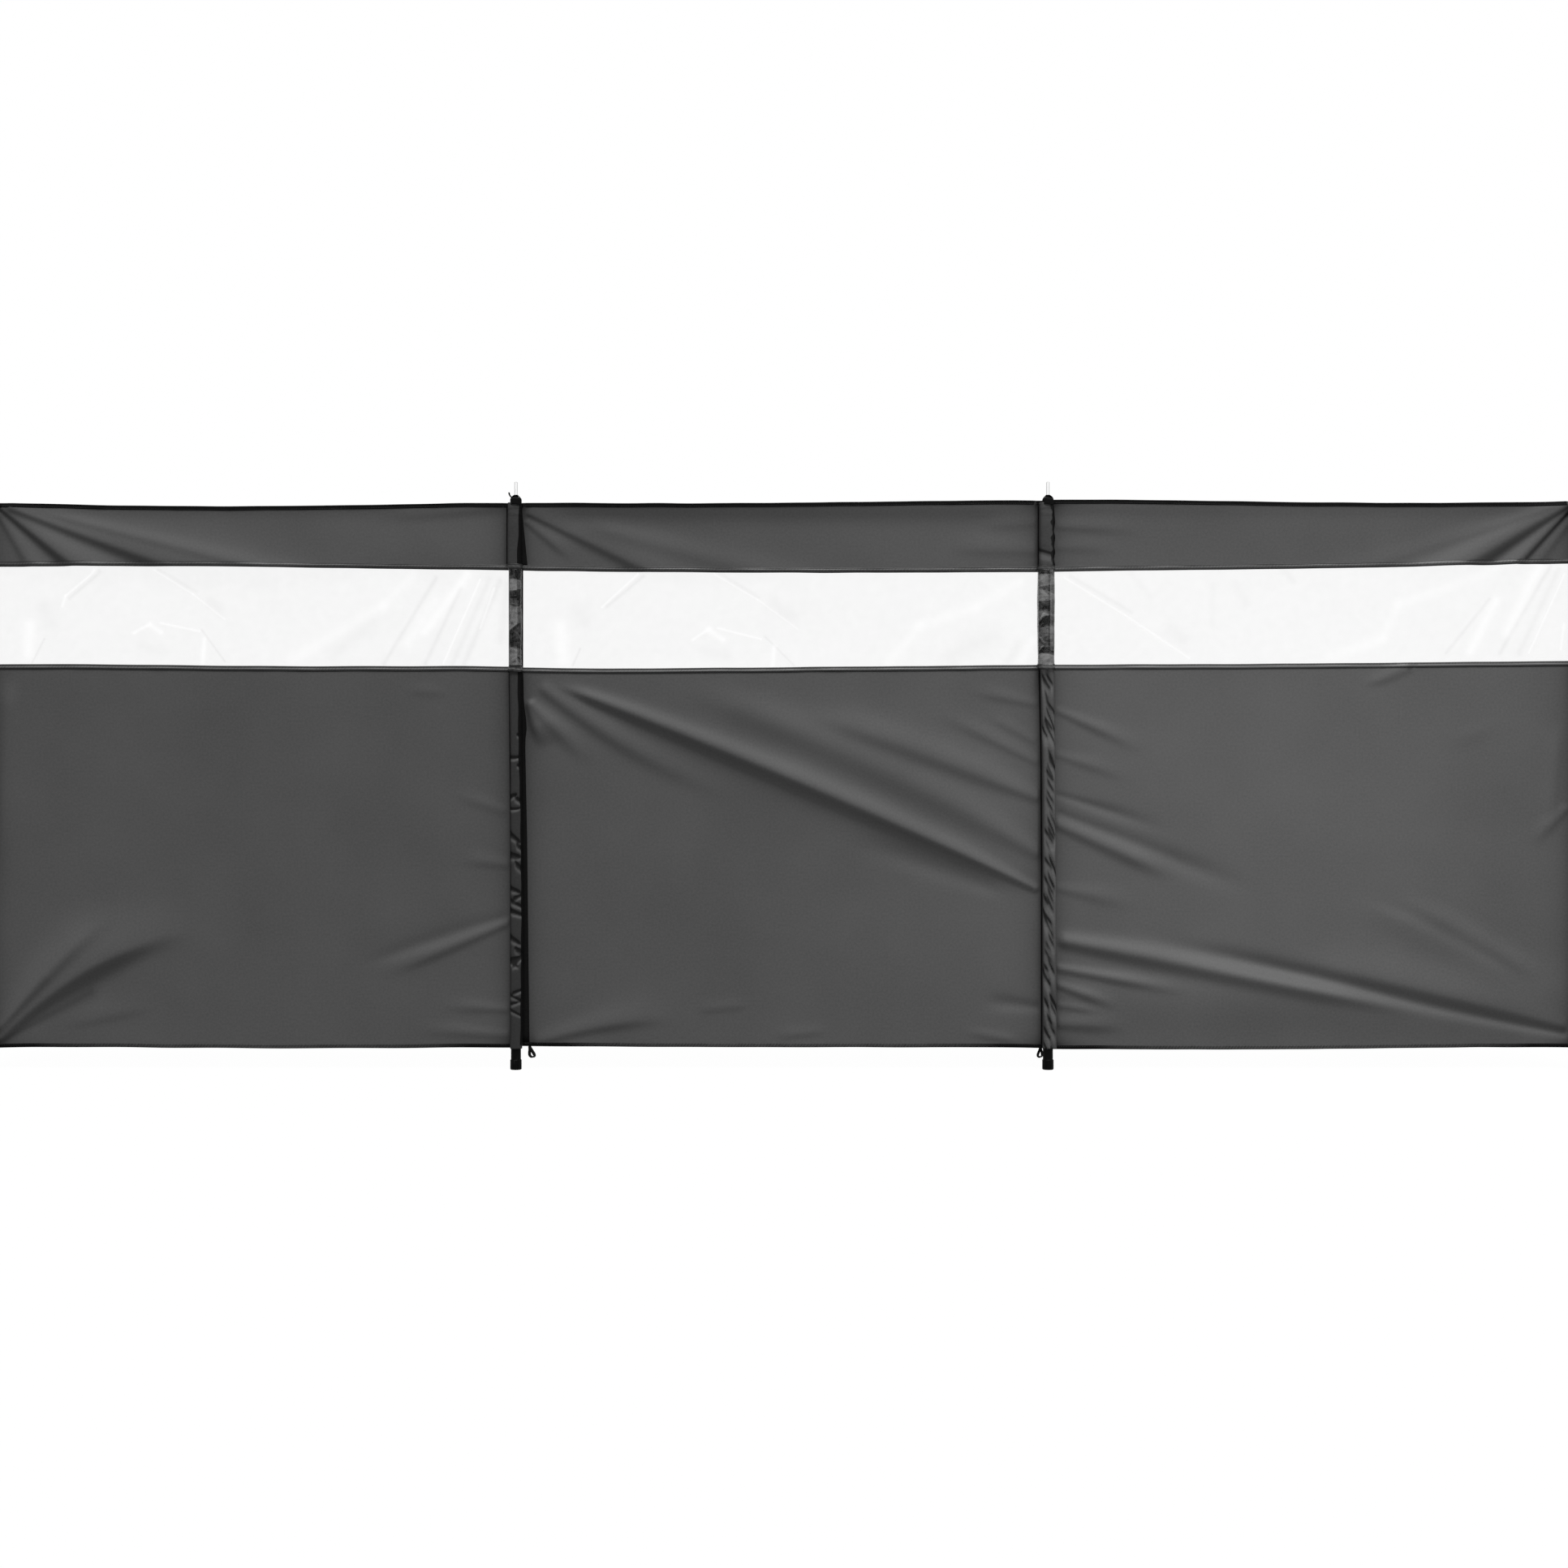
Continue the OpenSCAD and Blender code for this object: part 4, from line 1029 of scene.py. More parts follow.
# %% Loops
SHARP_ANGLE = 50
LOOP_POINTS = 48
LOOP_HALF_W, LOOP_HALF_T = 4.6 * MM, 1.9 * MM
LOOP_SHIFT = {1: 0, 2: 8 * MM, 3: 8 * MM, 4: 7 * MM}
LOOP_LEAN = {1: -6 * MM, 2: 8 * MM, 3: -2 * MM, 4: 6 * MM}
LOOP_SPAN, LOOP_TWIST = 0.42, 2 * MM
LOOP_TUCK, LOOP_CLEAR = 4 * MM, 1.5 * MM
LOOP_WIDE = (0.7, 1, 0.3)
for k in range(1, pole_count + 1):
    low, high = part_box(f"peg_loop_{k}")
    t = np.linspace(0, 1, LOOP_POINTS)
    swing = np.sin(math.pi * t) ** 0.8
    around = -LOOP_SPAN * (high.x - low.x) * np.sin(2 * math.pi * (t - 0.5)) * swing**0.5
    x = (low.x + high.x) / 2 + LOOP_SHIFT[k] + around + LOOP_LEAN[k] * swing
    y = cloth_y + LOOP_TWIST * np.sin(2 * math.pi * t)
    z = bottom_z + LOOP_TUCK - (bottom_z + LOOP_TUCK - LOOP_CLEAR - low.z) * swing
    wide = np.stack([np.ones_like(t), np.ones_like(t), np.cos(math.pi * t)], axis=1) * LOOP_WIDE
    ribbon = carry_ribbon(np.stack([x, y, z], axis=1), wide, LOOP_HALF_W, LOOP_HALF_T)
    add_piece(f"webbing_loop_{k}", [ribbon], "black webbing", [f"peg_loop_{k}"],
              sharp=SHARP_ANGLE)
print("loops:", pole_count)

# %% A loose end of webbing: a quarter of an oval from its tip down to the hood
LOOSE_END_POLE = 2
LOOSE_POINTS = 24
TIP_X, TIP_Y, TIP_Z = -16.5, -9, 20
BEND_X, BEND_Z = 10.5, 13
LOOSE_WIDE = (0.5, 1, 0.2)
LOOSE_HALF_W, LOOSE_HALF_T = 2.4 * MM, 1.2 * MM
turn = np.linspace(0, math.pi / 2, LOOSE_POINTS)
loose_x = pole_x[LOOSE_END_POLE - 1] + (TIP_X + BEND_X * (1 - np.cos(turn))) * MM
loose_z = top_z + (TIP_Z - BEND_Z * np.sin(turn)) * MM
loose = np.stack([loose_x, np.full_like(turn, TIP_Y * MM), loose_z], axis=1)
loose_ribbon = carry_ribbon(loose, np.tile(LOOSE_WIDE, (LOOSE_POINTS, 1)), LOOSE_HALF_W, LOOSE_HALF_T)
add_piece("webbing_loose_end", [loose_ribbon], "black webbing", sharp=SHARP_ANGLE)
print("loose end on pole", LOOSE_END_POLE)

# %% [markdown]
# ## Stitches
# Rows of thread hold the tapes and sleeves. Thousands of stitches are one mesh: a small three-sided
# grain is repeated by adding an array of places to an array of points.

# %% One grain of thread, repeated
STITCH_LENGTH = 4.2 * MM
STITCH_R = 0.32 * MM
GRAIN_STATIONS = np.array([(-0.5, 0.2), (0.0, 1.0), (0.5, 0.2)])
GRAIN_SIDES = 3
GRAIN_POINTS = len(GRAIN_STATIONS) * GRAIN_SIDES


def stitch_row(starts, along_z):
    """Repeats one grain at each start: a three-sided spindle along x, or along z for a sleeve's seam."""
    angle = np.arange(GRAIN_SIDES) * 2 * math.pi / GRAIN_SIDES
    length = GRAIN_STATIONS[:, 0, None] * STITCH_LENGTH + np.zeros(GRAIN_SIDES)
    out = GRAIN_STATIONS[:, 1, None] * STITCH_R * np.sin(angle)
    up = GRAIN_STATIONS[:, 1, None] * STITCH_R * np.cos(angle)
    grain = np.dstack([up, -out, length] if along_z else [length, out, up]).reshape(-1, 3)
    return (starts[:, None] + grain[None]).reshape(-1, 3)


def grain_faces(count):
    """The quads round each grain and its two ends."""
    ring = np.arange(GRAIN_SIDES)
    after = np.roll(ring, -1)
    sides = np.stack([ring, ring + GRAIN_SIDES, after + GRAIN_SIDES, after], axis=1)
    first = GRAIN_POINTS * np.arange(count)[:, None, None]
    quads = (np.vstack([sides, sides + GRAIN_SIDES])[None] + first).reshape(-1, 4)
    tips = (np.array([ring, 2 * GRAIN_SIDES + ring[::-1]])[None] + first).reshape(-1, GRAIN_SIDES)
    return quads.tolist() + tips.tolist()


print("points of one stitch:", GRAIN_POINTS)

# %% Rows on the tapes and along the sleeves
STITCH_PITCH = 6.0 * MM
STITCH_FRONT, TAPE_MARGIN = 1.9 * MM, 24 * MM
FOOT_SHARE, FOOT_DEPTH = 0.97, 1.4 * MM


def thread_along_tape(bay, low_z, curve, folds, share, height):
    """Starts of the stitches of one row on a tape of a bay."""
    x = np.arange(pole_x[bay] + TAPE_MARGIN, pole_x[bay + 1] - TAPE_MARGIN, STITCH_PITCH)
    z = low_z + share * height + curve((x - pole_x[bay]) / pitch)
    return np.stack([x, cloth_y - cloth_out(x, z, bay, folds) - STITCH_FRONT, z], axis=1)


tape_threads = ((top_hem_low_z, top_rise, UPPER_FOLDS, 0.25, top_z - top_hem_low_z),
                (bottom_z, bottom_rise, LOWER_FOLDS, 0.75, hem_top_z - bottom_z),
                (film_high_z, film_high_rise, UPPER_FOLDS, 0.78, binding_h),
                (film_high_z, film_high_rise, UPPER_FOLDS, 0.22, binding_h),
                (lower_top_z, film_low_rise, LOWER_FOLDS, 0.12, binding_h),
                (lower_top_z, film_low_rise, LOWER_FOLDS, 0.74, binding_h))
level_rows = [thread_along_tape(bay, low_z, curves[bay], folds, share, height)
              for bay in range(bay_count) for low_z, curves, folds, share, height in tape_threads]
upright_rows = []
for k in range(pole_count):
    for side in (-1, 1):
        z = np.arange(hem_top_z, top_hem_low_z, STITCH_PITCH)
        z = z[((z < lower_top_z) | (z > film_low_z)) & ((z < film_high_z) | (z > upper_low_z))]
        x = sleeve_surface(k + 1, np.full((1, len(z)), FOOT_SHARE * side), z[None], 0 * z[None])[0, :, 0]
        upright_rows.append(np.stack([x, np.full_like(z, sleeve_back_y - FOOT_DEPTH), z], axis=1))
grains = np.vstack([stitch_row(np.vstack(level_rows), False), stitch_row(np.vstack(upright_rows), True)])
thread_mesh = bpy.data.meshes.new("thread")
stitch_count = len(grains) // GRAIN_POINTS
thread_mesh.from_pydata(grains, [], grain_faces(stitch_count))
thread = bpy.data.objects.new("thread", thread_mesh)
bpy.context.scene.collection.objects.link(thread)
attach(thread, "root")
dressed[thread] = "thread"
print("stitches:", stitch_count)

# %% [markdown]
# ## Shared effects of the finishes
# Weave, mottling, scuffs and streaks appear many times, so each is a node group with its own inputs.
# A group only puts out values that change over the surface; the shader itself stays in the material.

# %% Small helpers for node trees
def link_or_set(tree, socket, value):
    """Links an output to the socket, or sets the socket's own value."""
    if isinstance(value, bpy.types.NodeSocket):
        tree.links.new(value, socket)
    else:
        socket.default_value = value


def add_node(tree, kind, inputs=None, **settings):
    """A node with its settings and inputs filled in."""
    node = tree.nodes.new(kind)
    for name, value in settings.items():
        setattr(node, name, value)
    for name, value in (inputs or {}).items():
        link_or_set(tree, node.inputs[name], value)
    return node


def calc(tree, operation, *values):
    """The output of a Math node."""
    return add_node(tree, "ShaderNodeMath", dict(enumerate(values)), operation=operation).outputs[0]


def new_group(name, inputs, outputs):
    """An empty shader group, its input node and its output node."""
    tree = bpy.data.node_groups.new(name, "ShaderNodeTree")
    for label, kind, value in inputs:
        tree.interface.new_socket(label, in_out="INPUT", socket_type=kind).default_value = value
    for label in outputs:
        tree.interface.new_socket(label, in_out="OUTPUT", socket_type="NodeSocketFloat")
    return tree, tree.nodes.new("NodeGroupInput"), tree.nodes.new("NodeGroupOutput")


# %% Weave
def make_weave_group():
    """Plain weave: each thread is half a sine wave high, and warp and weft change places in a
    chequer, so every cell shows the thread that passes over."""
    tree, given, made = new_group("plain weave", [("Place", "NodeSocketVector", (0, 0, 0)),
                                                  ("Threads", "NodeSocketFloat", 900.0)], ["Height"])
    scaled = add_node(tree, "ShaderNodeVectorMath", {0: given.outputs["Place"]}, operation="SCALE")
    link_or_set(tree, scaled.inputs["Scale"], given.outputs["Threads"])
    axes = add_node(tree, "ShaderNodeSeparateXYZ", {0: scaled.outputs[0]})
    u, v = axes.outputs["X"], axes.outputs["Y"]
    warp = calc(tree, "ABSOLUTE", calc(tree, "SINE", calc(tree, "MULTIPLY", u, math.pi)))
    weft = calc(tree, "ABSOLUTE", calc(tree, "SINE", calc(tree, "MULTIPLY", v, math.pi)))
    cells = calc(tree, "ADD", calc(tree, "FLOOR", u), calc(tree, "FLOOR", v))
    odd = calc(tree, "FLOORED_MODULO", cells, 2.0)
    over = calc(tree, "MULTIPLY", odd, calc(tree, "SUBTRACT", warp, weft))
    tree.links.new(calc(tree, "ADD", over, weft), made.inputs["Height"])
    return tree


weave_group = make_weave_group()
print("group:", weave_group.name)


# %% Mottling
def make_mottle_group():
    """Broad and fine noise added with given shares: uneven dye, dust and handling marks."""
    tree, given, made = new_group("mottling", [("Place", "NodeSocketVector", (0, 0, 0)),
                                               ("Broad", "NodeSocketFloat", 6.0),
                                               ("Fine", "NodeSocketFloat", 140.0),
                                               ("Fine share", "NodeSocketFloat", 0.35)], ["Shade"])
    broad = add_node(tree, "ShaderNodeTexNoise", {"Vector": given.outputs["Place"],
                                                  "Scale": given.outputs["Broad"], "Detail": 3.0})
    fine = add_node(tree, "ShaderNodeTexNoise", {"Vector": given.outputs["Place"],
                                                 "Scale": given.outputs["Fine"], "Detail": 2.0})
    apart = calc(tree, "SUBTRACT", fine.outputs["Fac"], broad.outputs["Fac"])
    tree.links.new(calc(tree, "MULTIPLY_ADD", apart, given.outputs["Fine share"], broad.outputs["Fac"]),
                   made.inputs["Shade"])
    return tree


mottle_group = make_mottle_group()
print("group:", mottle_group.name)

# %% Scuffs
SCUFF_STRETCH = (4.0, 4.0, 0.6)
SCUFF_CONTRAST = 9.0


def make_scuff_group():
    """Thin stretched noise cut off above a level: scratches along one direction."""
    tree, given, made = new_group("scuffs", [("Place", "NodeSocketVector", (0, 0, 0)),
                                             ("Scale", "NodeSocketFloat", 60.0),
                                             ("Level", "NodeSocketFloat", 0.62)], ["Mask"])
    longer = add_node(tree, "ShaderNodeMapping", {"Vector": given.outputs["Place"], "Scale": SCUFF_STRETCH})
    noise = add_node(tree, "ShaderNodeTexNoise", {"Vector": longer.outputs[0],
                                                  "Scale": given.outputs["Scale"], "Detail": 4.0})
    above = calc(tree, "SUBTRACT", noise.outputs["Fac"], given.outputs["Level"])
    sharp = calc(tree, "MULTIPLY", above, SCUFF_CONTRAST)
    tree.links.new(calc(tree, "MINIMUM", calc(tree, "MAXIMUM", sharp, 0.0), 1.0), made.inputs["Mask"])
    return tree


scuff_group = make_scuff_group()
print("group:", scuff_group.name)


# %% Streaks
def make_streak_group():
    """A soft straight line from start to end: the tone times a bell of the distance from the line."""
    tree, given, made = new_group("streak", [("Place", "NodeSocketVector", (0, 0, 0)),
                                             ("Start", "NodeSocketVector", (0, 0, 0)),
                                             ("End", "NodeSocketVector", (1, 0, 0)),
                                             ("Width", "NodeSocketFloat", 0.005),
                                             ("Tone", "NodeSocketFloat", 1.0)], ["Haze"])

    def vector(operation, first, second):
        return add_node(tree, "ShaderNodeVectorMath", {0: first, 1: second}, operation=operation).outputs

    out = vector("SUBTRACT", given.outputs["Place"], given.outputs["Start"])[0]
    run = vector("SUBTRACT", given.outputs["End"], given.outputs["Start"])[0]
    ahead = vector("DOT_PRODUCT", out, run)["Value"]
    share = calc(tree, "DIVIDE", ahead, vector("DOT_PRODUCT", run, run)["Value"])
    share = calc(tree, "MINIMUM", calc(tree, "MAXIMUM", share, 0.0), 1.0)
    nearest = add_node(tree, "ShaderNodeVectorMath", {0: run, "Scale": share}, operation="SCALE").outputs[0]
    away = vector("DISTANCE", out, nearest)["Value"]
    widths = calc(tree, "DIVIDE", away, given.outputs["Width"])
    bell = calc(tree, "EXPONENT", calc(tree, "MULTIPLY", calc(tree, "MULTIPLY", widths, widths), -1.0))
    tree.links.new(calc(tree, "MULTIPLY", bell, given.outputs["Tone"]), made.inputs["Haze"])
    return tree


streak_group = make_streak_group()
print("group:", streak_group.name)

# %% [markdown]
# ## Finishes
# Each finish is one Principled shader. Numbers that are the same all over are set on its sockets, and
# what changes over the surface comes from the groups. Cloth and tapes read their own UV map in
# metres, so that the weave follows the folds; rigid pieces read object coordinates.

# %% The parts of a finish
def new_finish(name, roughness, specular=0.5):
    """A material with its shader, and its coordinates."""
    material = bpy.data.materials.new(name)
    material.use_nodes = True
    tree = material.node_tree
    shader = tree.nodes["Principled BSDF"]
    shader.inputs["Roughness"].default_value = roughness
    shader.inputs["Specular IOR Level"].default_value = specular
    return material, tree, shader, add_node(tree, "ShaderNodeTexCoord")


def fill_group(tree, group, inputs):
    """Places a group and fills the named inputs."""
    return add_node(tree, "ShaderNodeGroup", inputs, node_tree=group)


def mottling(tree, place, broad, fine, fine_share):
    """The shade of a mottling group at its own scales."""
    scales = {"Place": place, "Broad": broad, "Fine": fine, "Fine share": fine_share}
    return fill_group(tree, mottle_group, scales).outputs["Shade"]


def between(tree, factor, low, high):
    """A colour between two, by a factor that changes over the surface."""
    return add_node(tree, "ShaderNodeMix", {"Factor": factor, 6: low, 7: high}, data_type="RGBA").outputs[2]


def spread_to(tree, value, from_low, from_high, to_low, to_high):
    """A value moved from one range to another."""
    return add_node(tree, "ShaderNodeMapRange", {"Value": value, "From Min": from_low, "From Max": from_high,
                                                 "To Min": to_low, "To Max": to_high}).outputs["Result"]


def bump(tree, shader, height, strength, distance):
    """A bump from a height, on the shader's normal."""
    made = add_node(tree, "ShaderNodeBump", {"Height": height, "Strength": strength, "Distance": distance})
    tree.links.new(made.outputs["Normal"], shader.inputs["Normal"])


def grey(level):
    """A neutral colour."""
    return (level, level, level, 1)


# %% Woven finishes
NOISE_RANGE = (0.3, 0.7)
DYE_SCALES = (4.0, 170.0)
THREAD_TONES = (-0.18, 0.12)
WEAVE_BUMP = 0.35
# The near black that painted shade darkens the cloth towards, and its share at full shade.
PAINTED_SHADE_GREY = 0.004
PAINTED_SHADE_STRENGTH = 0.62


def woven(name, dark, light, roughness, specular, threads, depth, fine_share):
    """Threads in a plain weave, unevenly dyed: mottling moves colour and roughness, the weave moves
    the normal and darkens the gaps between threads, and the mesh's field paints shade on the cloth."""
    material, tree, shader, place = new_finish(name, roughness[0], specular)
    uv = place.outputs["UV"]
    weave = fill_group(tree, weave_group, {"Place": uv, "Threads": threads})
    shade = mottling(tree, uv, *DYE_SCALES, fine_share)
    gap = spread_to(tree, weave.outputs["Height"], 0.0, 1.0, *THREAD_TONES)
    tone = calc(tree, "ADD", spread_to(tree, shade, *NOISE_RANGE, 0.0, 1.0), gap)
    # The mesh's field of painted shade, lessened where it paints a highlight.
    soil = add_node(tree, "ShaderNodeAttribute", attribute_name="soil").outputs["Fac"]
    dyed = between(tree, tone, grey(dark), grey(light))
    darkened = calc(tree, "MULTIPLY", soil, PAINTED_SHADE_STRENGTH)
    tree.links.new(between(tree, darkened, dyed, grey(PAINTED_SHADE_GREY)), shader.inputs["Base Color"])
    tree.links.new(spread_to(tree, shade, *NOISE_RANGE, *roughness), shader.inputs["Roughness"])
    bump(tree, shader, weave.outputs["Height"], WEAVE_BUMP, depth)
    return material


finishes = {
    "grey cloth": woven("grey coated cloth", 0.053, 0.076, (0.55, 0.65), 0.25, 1100.0, 0.00012, 0.55),
    # The sleeves are of the same cloth; this paler copy is brought to each sleeve's tone by painted shade.
    "sleeve cloth": woven("grey sleeve cloth", 0.064, 0.094, (0.5, 0.6), 0.1, 1100.0, 0.00012, 0.55),
    "black webbing": woven("black webbing", 0.002, 0.006, (0.6, 0.75), 0.04, 700.0, 0.0003, 0.5),
    "thread": woven("black thread", 0.02, 0.04, (0.6, 0.7), 0.2, 2500.0, 0.0001, 0.5),
}
print("woven finishes:", list(finishes))

# %% Satin tapes
RIBS_ALONG, RIBS_UP, RIB_TONE = 780.0, 500.0, 0.22
TAPE_SCALES, TAPE_FINE_SHARE, TAPE_TONES = (12.0, 160.0), 0.5, (0.6, 1.3)


def satin_tape(name, dark, light, roughness, specular):
    """Satin tape: the field on the mesh tells how pale it is, partly its own tones and partly a painted
    highlight and painted shade, and slanting ribs with some mottling break the pale part up."""
    material, tree, shader, place = new_finish(name, roughness, specular)
    uv = place.outputs["UV"]
    pale = add_node(tree, "ShaderNodeAttribute", attribute_name="pale").outputs["Fac"]
    axes = add_node(tree, "ShaderNodeSeparateXYZ", {0: uv})
    up = calc(tree, "MULTIPLY", axes.outputs["Y"], RIBS_UP)
    slant = calc(tree, "MULTIPLY_ADD", axes.outputs["X"], RIBS_ALONG, up)
    uneven = spread_to(tree, mottling(tree, uv, *TAPE_SCALES, TAPE_FINE_SHARE), *NOISE_RANGE, *TAPE_TONES)
    ribs = calc(tree, "MULTIPLY_ADD", calc(tree, "SINE", slant), RIB_TONE, uneven)
    tone = calc(tree, "MULTIPLY", pale, ribs)
    tree.links.new(between(tree, tone, grey(dark), grey(light)), shader.inputs["Base Color"])
    return material


finishes["grey tape"] = satin_tape("grey satin tape", 0.004, 0.085, 0.4, 0.2)
finishes["hem tape"] = satin_tape("grey hem tape with painted shade", 0.0015, 0.062, 0.6, 0.04)
print("tape finishes made")

# %% Film finishes
HAZE_AND_LIGHT_SHARE = 0.3
FILM_RANGE = (0.2, 0.9)
FILM_FINE_SHARE = 0.5


def film_finish(name, dark, light, alpha, roughness, specular, mottled, grain, streaks=()):
    """Clear film: the mesh's field, the streaks and a faint mottling move its colour and how much it lets
    through; the rest is gloss. The field paints highlights, shade and glints; the streaks are partly the
    film's own whitening and partly painted glints and painted reflections."""
    material, tree, shader, place = new_finish(name, roughness, specular)
    uv = place.outputs["UV"]
    haze_and_painted_light = add_node(tree, "ShaderNodeAttribute", attribute_name="haze_and_painted_light").outputs["Fac"]
    for streak in streaks:
        line = fill_group(tree, streak_group, {"Place": uv, "Start": (*np.array(streak.start) * MM, 0),
                                               "End": (*np.array(streak.end) * MM, 0),
                                               "Width": streak.width * MM, "Tone": streak.tone})
        haze_and_painted_light = calc(tree, "ADD", haze_and_painted_light, line.outputs["Haze"])
    cloudy = mottling(tree, uv, *grain, FILM_FINE_SHARE)
    even = calc(tree, "MULTIPLY_ADD", cloudy, mottled, 0.5 * (1 - mottled))
    shade = calc(tree, "MULTIPLY_ADD", haze_and_painted_light, HAZE_AND_LIGHT_SHARE, even)
    tone = spread_to(tree, shade, *FILM_RANGE, 0.0, 1.0)
    tree.links.new(between(tree, tone, grey(dark), grey(light)), shader.inputs["Base Color"])
    tree.links.new(spread_to(tree, shade, *FILM_RANGE, *alpha), shader.inputs["Alpha"])
    return material


for bay in range(bay_count):
    finishes[f"clear film {bay + 1}"] = film_finish(f"clear window film {bay + 1}", 0.2, 0.6, (0.1, 0.0),
                                                    0.12, 0.5, 0.35, (9.0, 40.0), STREAKS[bay])
finishes["film on cloth"] = film_finish("film over a sleeve", 0.006, 0.28, (0.5, 0.66), 0.2, 0.2, 1.2,
                                        (60.0, 130.0))
print("film finishes made")


# %% Rigid finishes
def moulded_plastic():
    """Black plastic with a fine grain and paler scuffs."""
    material, tree, shader, place = new_finish("black moulded plastic", 0.45, 0.04)
    spot = place.outputs["Object"]
    scuff = fill_group(tree, scuff_group, {"Place": spot, "Scale": 55.0, "Level": 0.6})
    grain = mottling(tree, spot, 40.0, 900.0, 0.6)
    rubbed = between(tree, scuff.outputs["Mask"], grey(0.002), grey(0.012))
    tree.links.new(rubbed, shader.inputs["Base Color"])
    tree.links.new(spread_to(tree, grain, *NOISE_RANGE, 0.38, 0.55), shader.inputs["Roughness"])
    bump(tree, shader, grain, 0.2, 0.0003)
    return material


def plated_steel():
    """Zinc-plated steel: bright where it faces the viewer and painted darker at its edges as shade, with
    drawn scratches and uneven gloss."""
    material, tree, shader, place = new_finish("plated steel", 0.3)
    spot = place.outputs["Object"]
    shader.inputs["Metallic"].default_value = 1.0
    scuff = fill_group(tree, scuff_group, {"Place": spot, "Scale": 120.0, "Level": 0.55})
    gloss = mottling(tree, spot, 30.0, 400.0, 0.5)
    # Painted shade: the colour turns dark grey towards the edges, which turn away from the viewer.
    edge = add_node(tree, "ShaderNodeLayerWeight", {"Blend": 0.55}).outputs["Facing"]
    drawn = between(tree, scuff.outputs["Mask"], grey(0.97), grey(0.8))
    tree.links.new(between(tree, edge, drawn, grey(0.04)), shader.inputs["Base Color"])
    tree.links.new(spread_to(tree, gloss, *NOISE_RANGE, 0.22, 0.4), shader.inputs["Roughness"])
    return material


finishes["plastic"] = moulded_plastic()
finishes["steel"] = plated_steel()
print("finishes:", list(finishes))

# %% Dress every piece
NODE_FINISH = {"pole_tube": "steel", "spigot": "steel", "pole_foot": "plastic", "pole_cap": "plastic"}
for piece, finish in dressed.items():
    piece.data.materials.append(finishes[finish])
for name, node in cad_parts.items():
    finish = NODE_FINISH.get(name.rsplit("_", 1)[0])
    if finish:
        node.data.materials.clear()
        node.data.materials.append(finishes[finish])
print("dressed pieces:", len(dressed))

# %% [markdown]
# ## Floor and light
# The photograph is a studio shot on white with light from above and a little from the right, which is
# what shows the folds. A sun lamp with soft edges, high in front, grazes the cloth, and a small lamp
# lifts the right bay. The world is white to the camera and in reflections, and only a soft grey for the
# light it gives.

# %% Floor
FLOOR_HALF = 30.0
floor_x, floor_y = np.meshgrid((-FLOOR_HALF, FLOOR_HALF), (-FLOOR_HALF, FLOOR_HALF))
floor_points = np.dstack([floor_x, floor_y, np.zeros((2, 2))])
floor_mesh = mesh_of("floor", [Patch(floor_points, np.zeros((2, 2, 2)))])
floor = bpy.data.objects.new("floor", floor_mesh)
bpy.context.scene.collection.objects.link(floor)


def seen_directly(tree):
    """1 for rays from the camera, reflections and glass, and 0 for light on the object."""
    path = add_node(tree, "ShaderNodeLightPath").outputs
    seen = calc(tree, "MAXIMUM", path["Is Camera Ray"], path["Is Glossy Ray"])
    return calc(tree, "MAXIMUM", seen, path["Is Transmission Ray"])


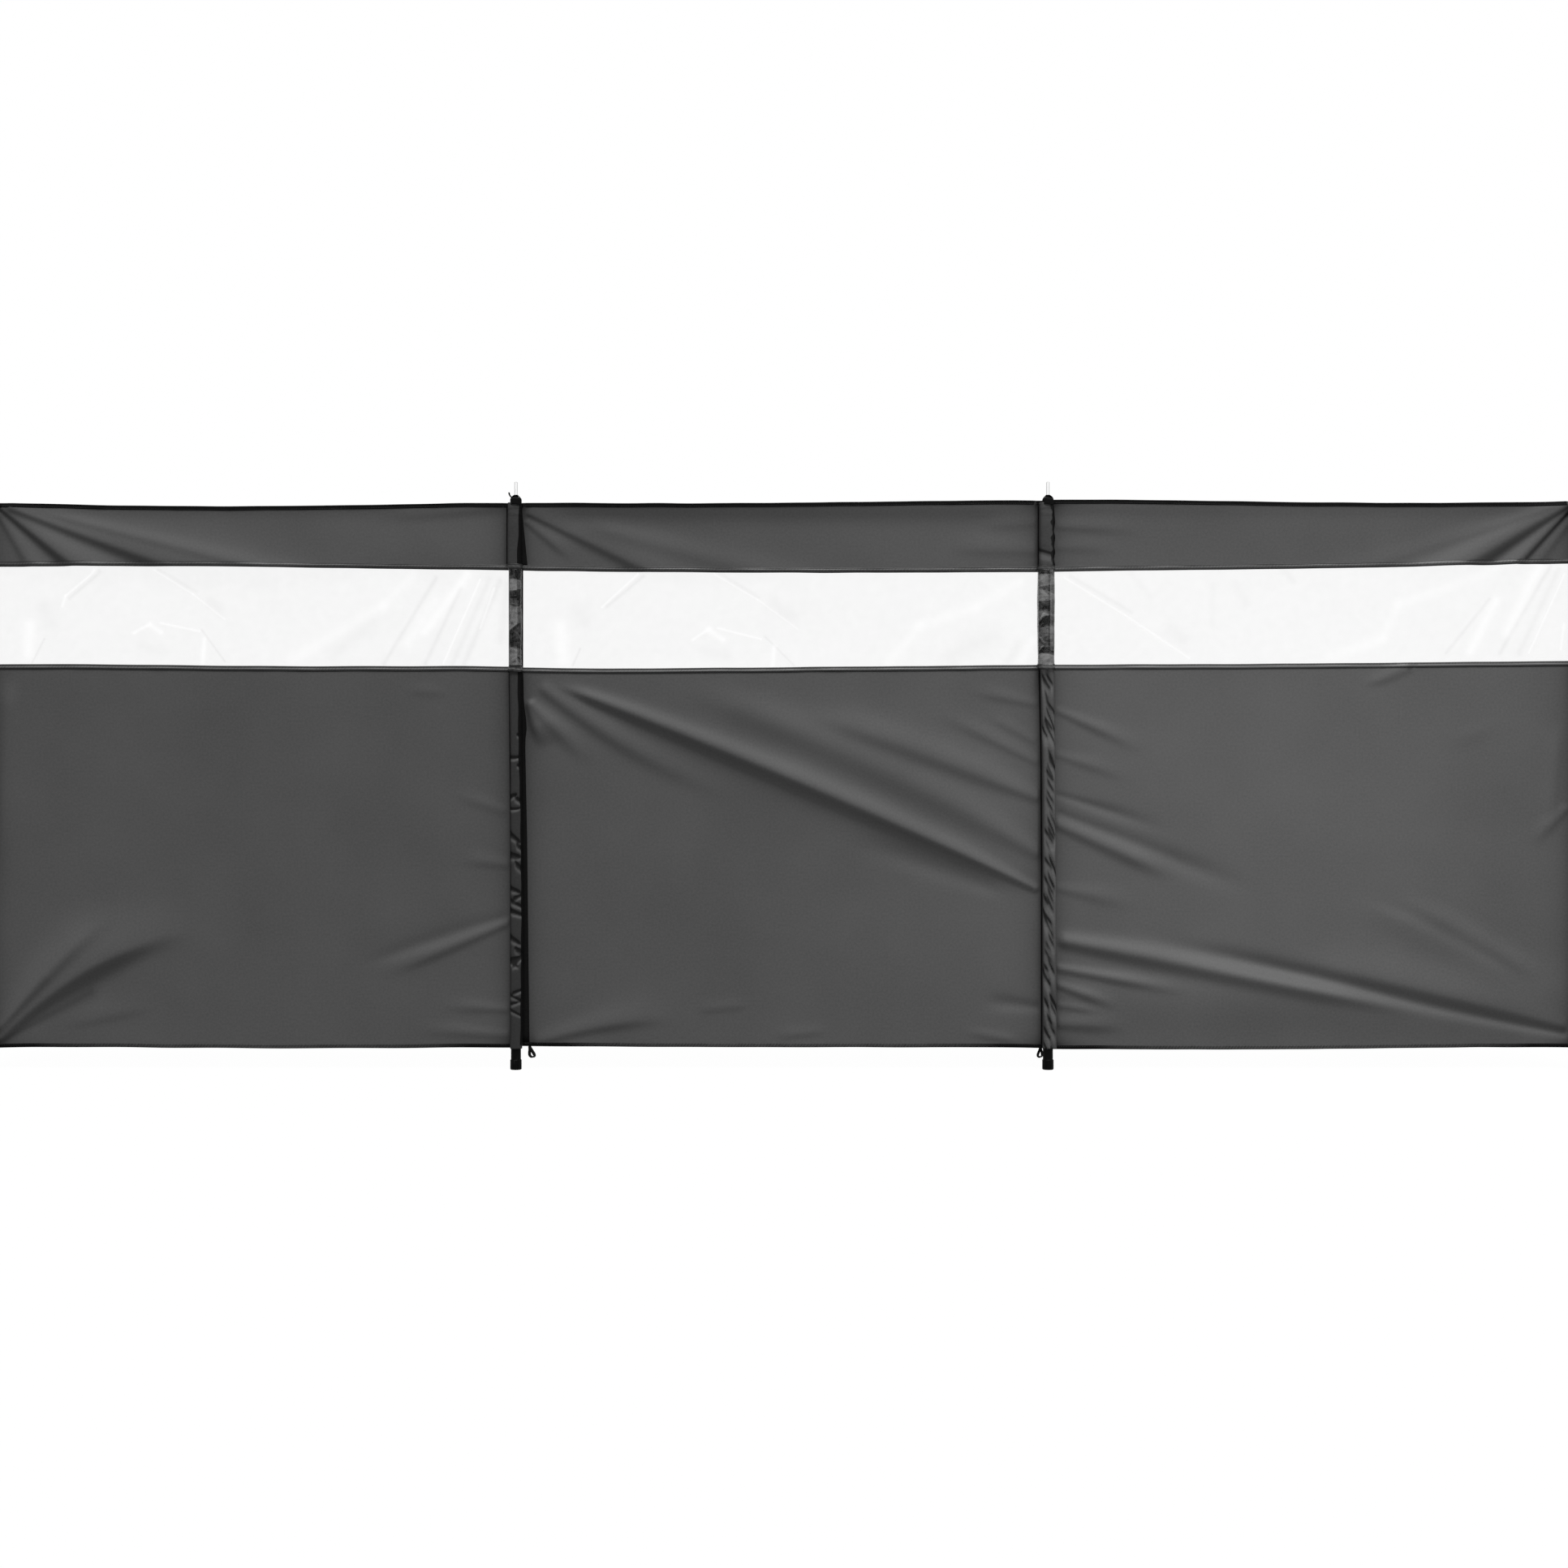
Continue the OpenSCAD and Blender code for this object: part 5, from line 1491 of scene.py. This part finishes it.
SHADOW_SHARE = 0.015
FLOOR_TONE, BOUNCE = 0.8, 0.25
floor_finish = bpy.data.materials.new("white floor")
floor_finish.use_nodes = True
tree = floor_finish.node_tree
matt = add_node(tree, "ShaderNodeBsdfDiffuse", {"Color": grey(FLOOR_TONE)})
glow = add_node(tree, "ShaderNodeEmission", {"Color": grey(1), "Strength": 1.0})
shown = add_node(tree, "ShaderNodeMixShader", {0: 1 - SHADOW_SHARE, 1: matt.outputs[0], 2: glow.outputs[0]})
dull = add_node(tree, "ShaderNodeBsdfDiffuse", {"Color": grey(BOUNCE)})
seen = seen_directly(tree)
both = add_node(tree, "ShaderNodeMixShader", {0: seen, 1: dull.outputs[0], 2: shown.outputs[0]})
tree.links.new(both.outputs[0], tree.nodes["Material Output"].inputs["Surface"])
floor.data.materials.append(floor_finish)
print("floor:", 2 * FLOOR_HALF, "m wide")

# %% World and lamps
WORLD_LIGHT = 0.26
world = bpy.data.worlds.new("studio")
bpy.context.scene.world = world
world.use_nodes = True
tree = world.node_tree
tree.nodes.clear()
soft = add_node(tree, "ShaderNodeBackground", {"Color": grey(1), "Strength": WORLD_LIGHT})
white = add_node(tree, "ShaderNodeBackground", {"Color": grey(1), "Strength": 1.0})
seen = seen_directly(tree)
sky = add_node(tree, "ShaderNodeMixShader", {0: seen, 1: soft.outputs[0], 2: white.outputs[0]})
tree.links.new(sky.outputs[0], add_node(tree, "ShaderNodeOutputWorld").inputs["Surface"])


def add_lamp(name, kind, place, aim, power, **settings):
    """A lamp at a place that looks at a point."""
    lamp = bpy.data.lights.new(name, kind)
    lamp.energy = power
    for setting, value in settings.items():
        setattr(lamp, setting, value)
    holder = bpy.data.objects.new(name, lamp)
    holder.location = place
    way = Vector(aim) - Vector(place)
    holder.rotation_euler = way.to_track_quat("-Z", "Y").to_euler()
    bpy.context.scene.collection.objects.link(holder)


KEY_PLACE, KEY_AIM, KEY_POWER, KEY_ANGLE = (2.6, -4.0, 9.6), (2.0, 0.0, 0.7), 4.0, math.radians(24)
SIDE_PLACE, SIDE_AIM, SIDE_POWER = (3.38, -1.1, 0.8), (3.38, 0.0, 0.8), 5.5
SIDE_WIDTH, SIDE_HEIGHT = 1.4, 0.3
add_lamp("key", "SUN", KEY_PLACE, KEY_AIM, KEY_POWER, angle=KEY_ANGLE)
add_lamp("right", "AREA", SIDE_PLACE, SIDE_AIM, SIDE_POWER, shape="RECTANGLE", size=SIDE_WIDTH,
         size_y=SIDE_HEIGHT)
bpy.context.scene.view_settings.view_transform = "Standard"
print("lamps set")
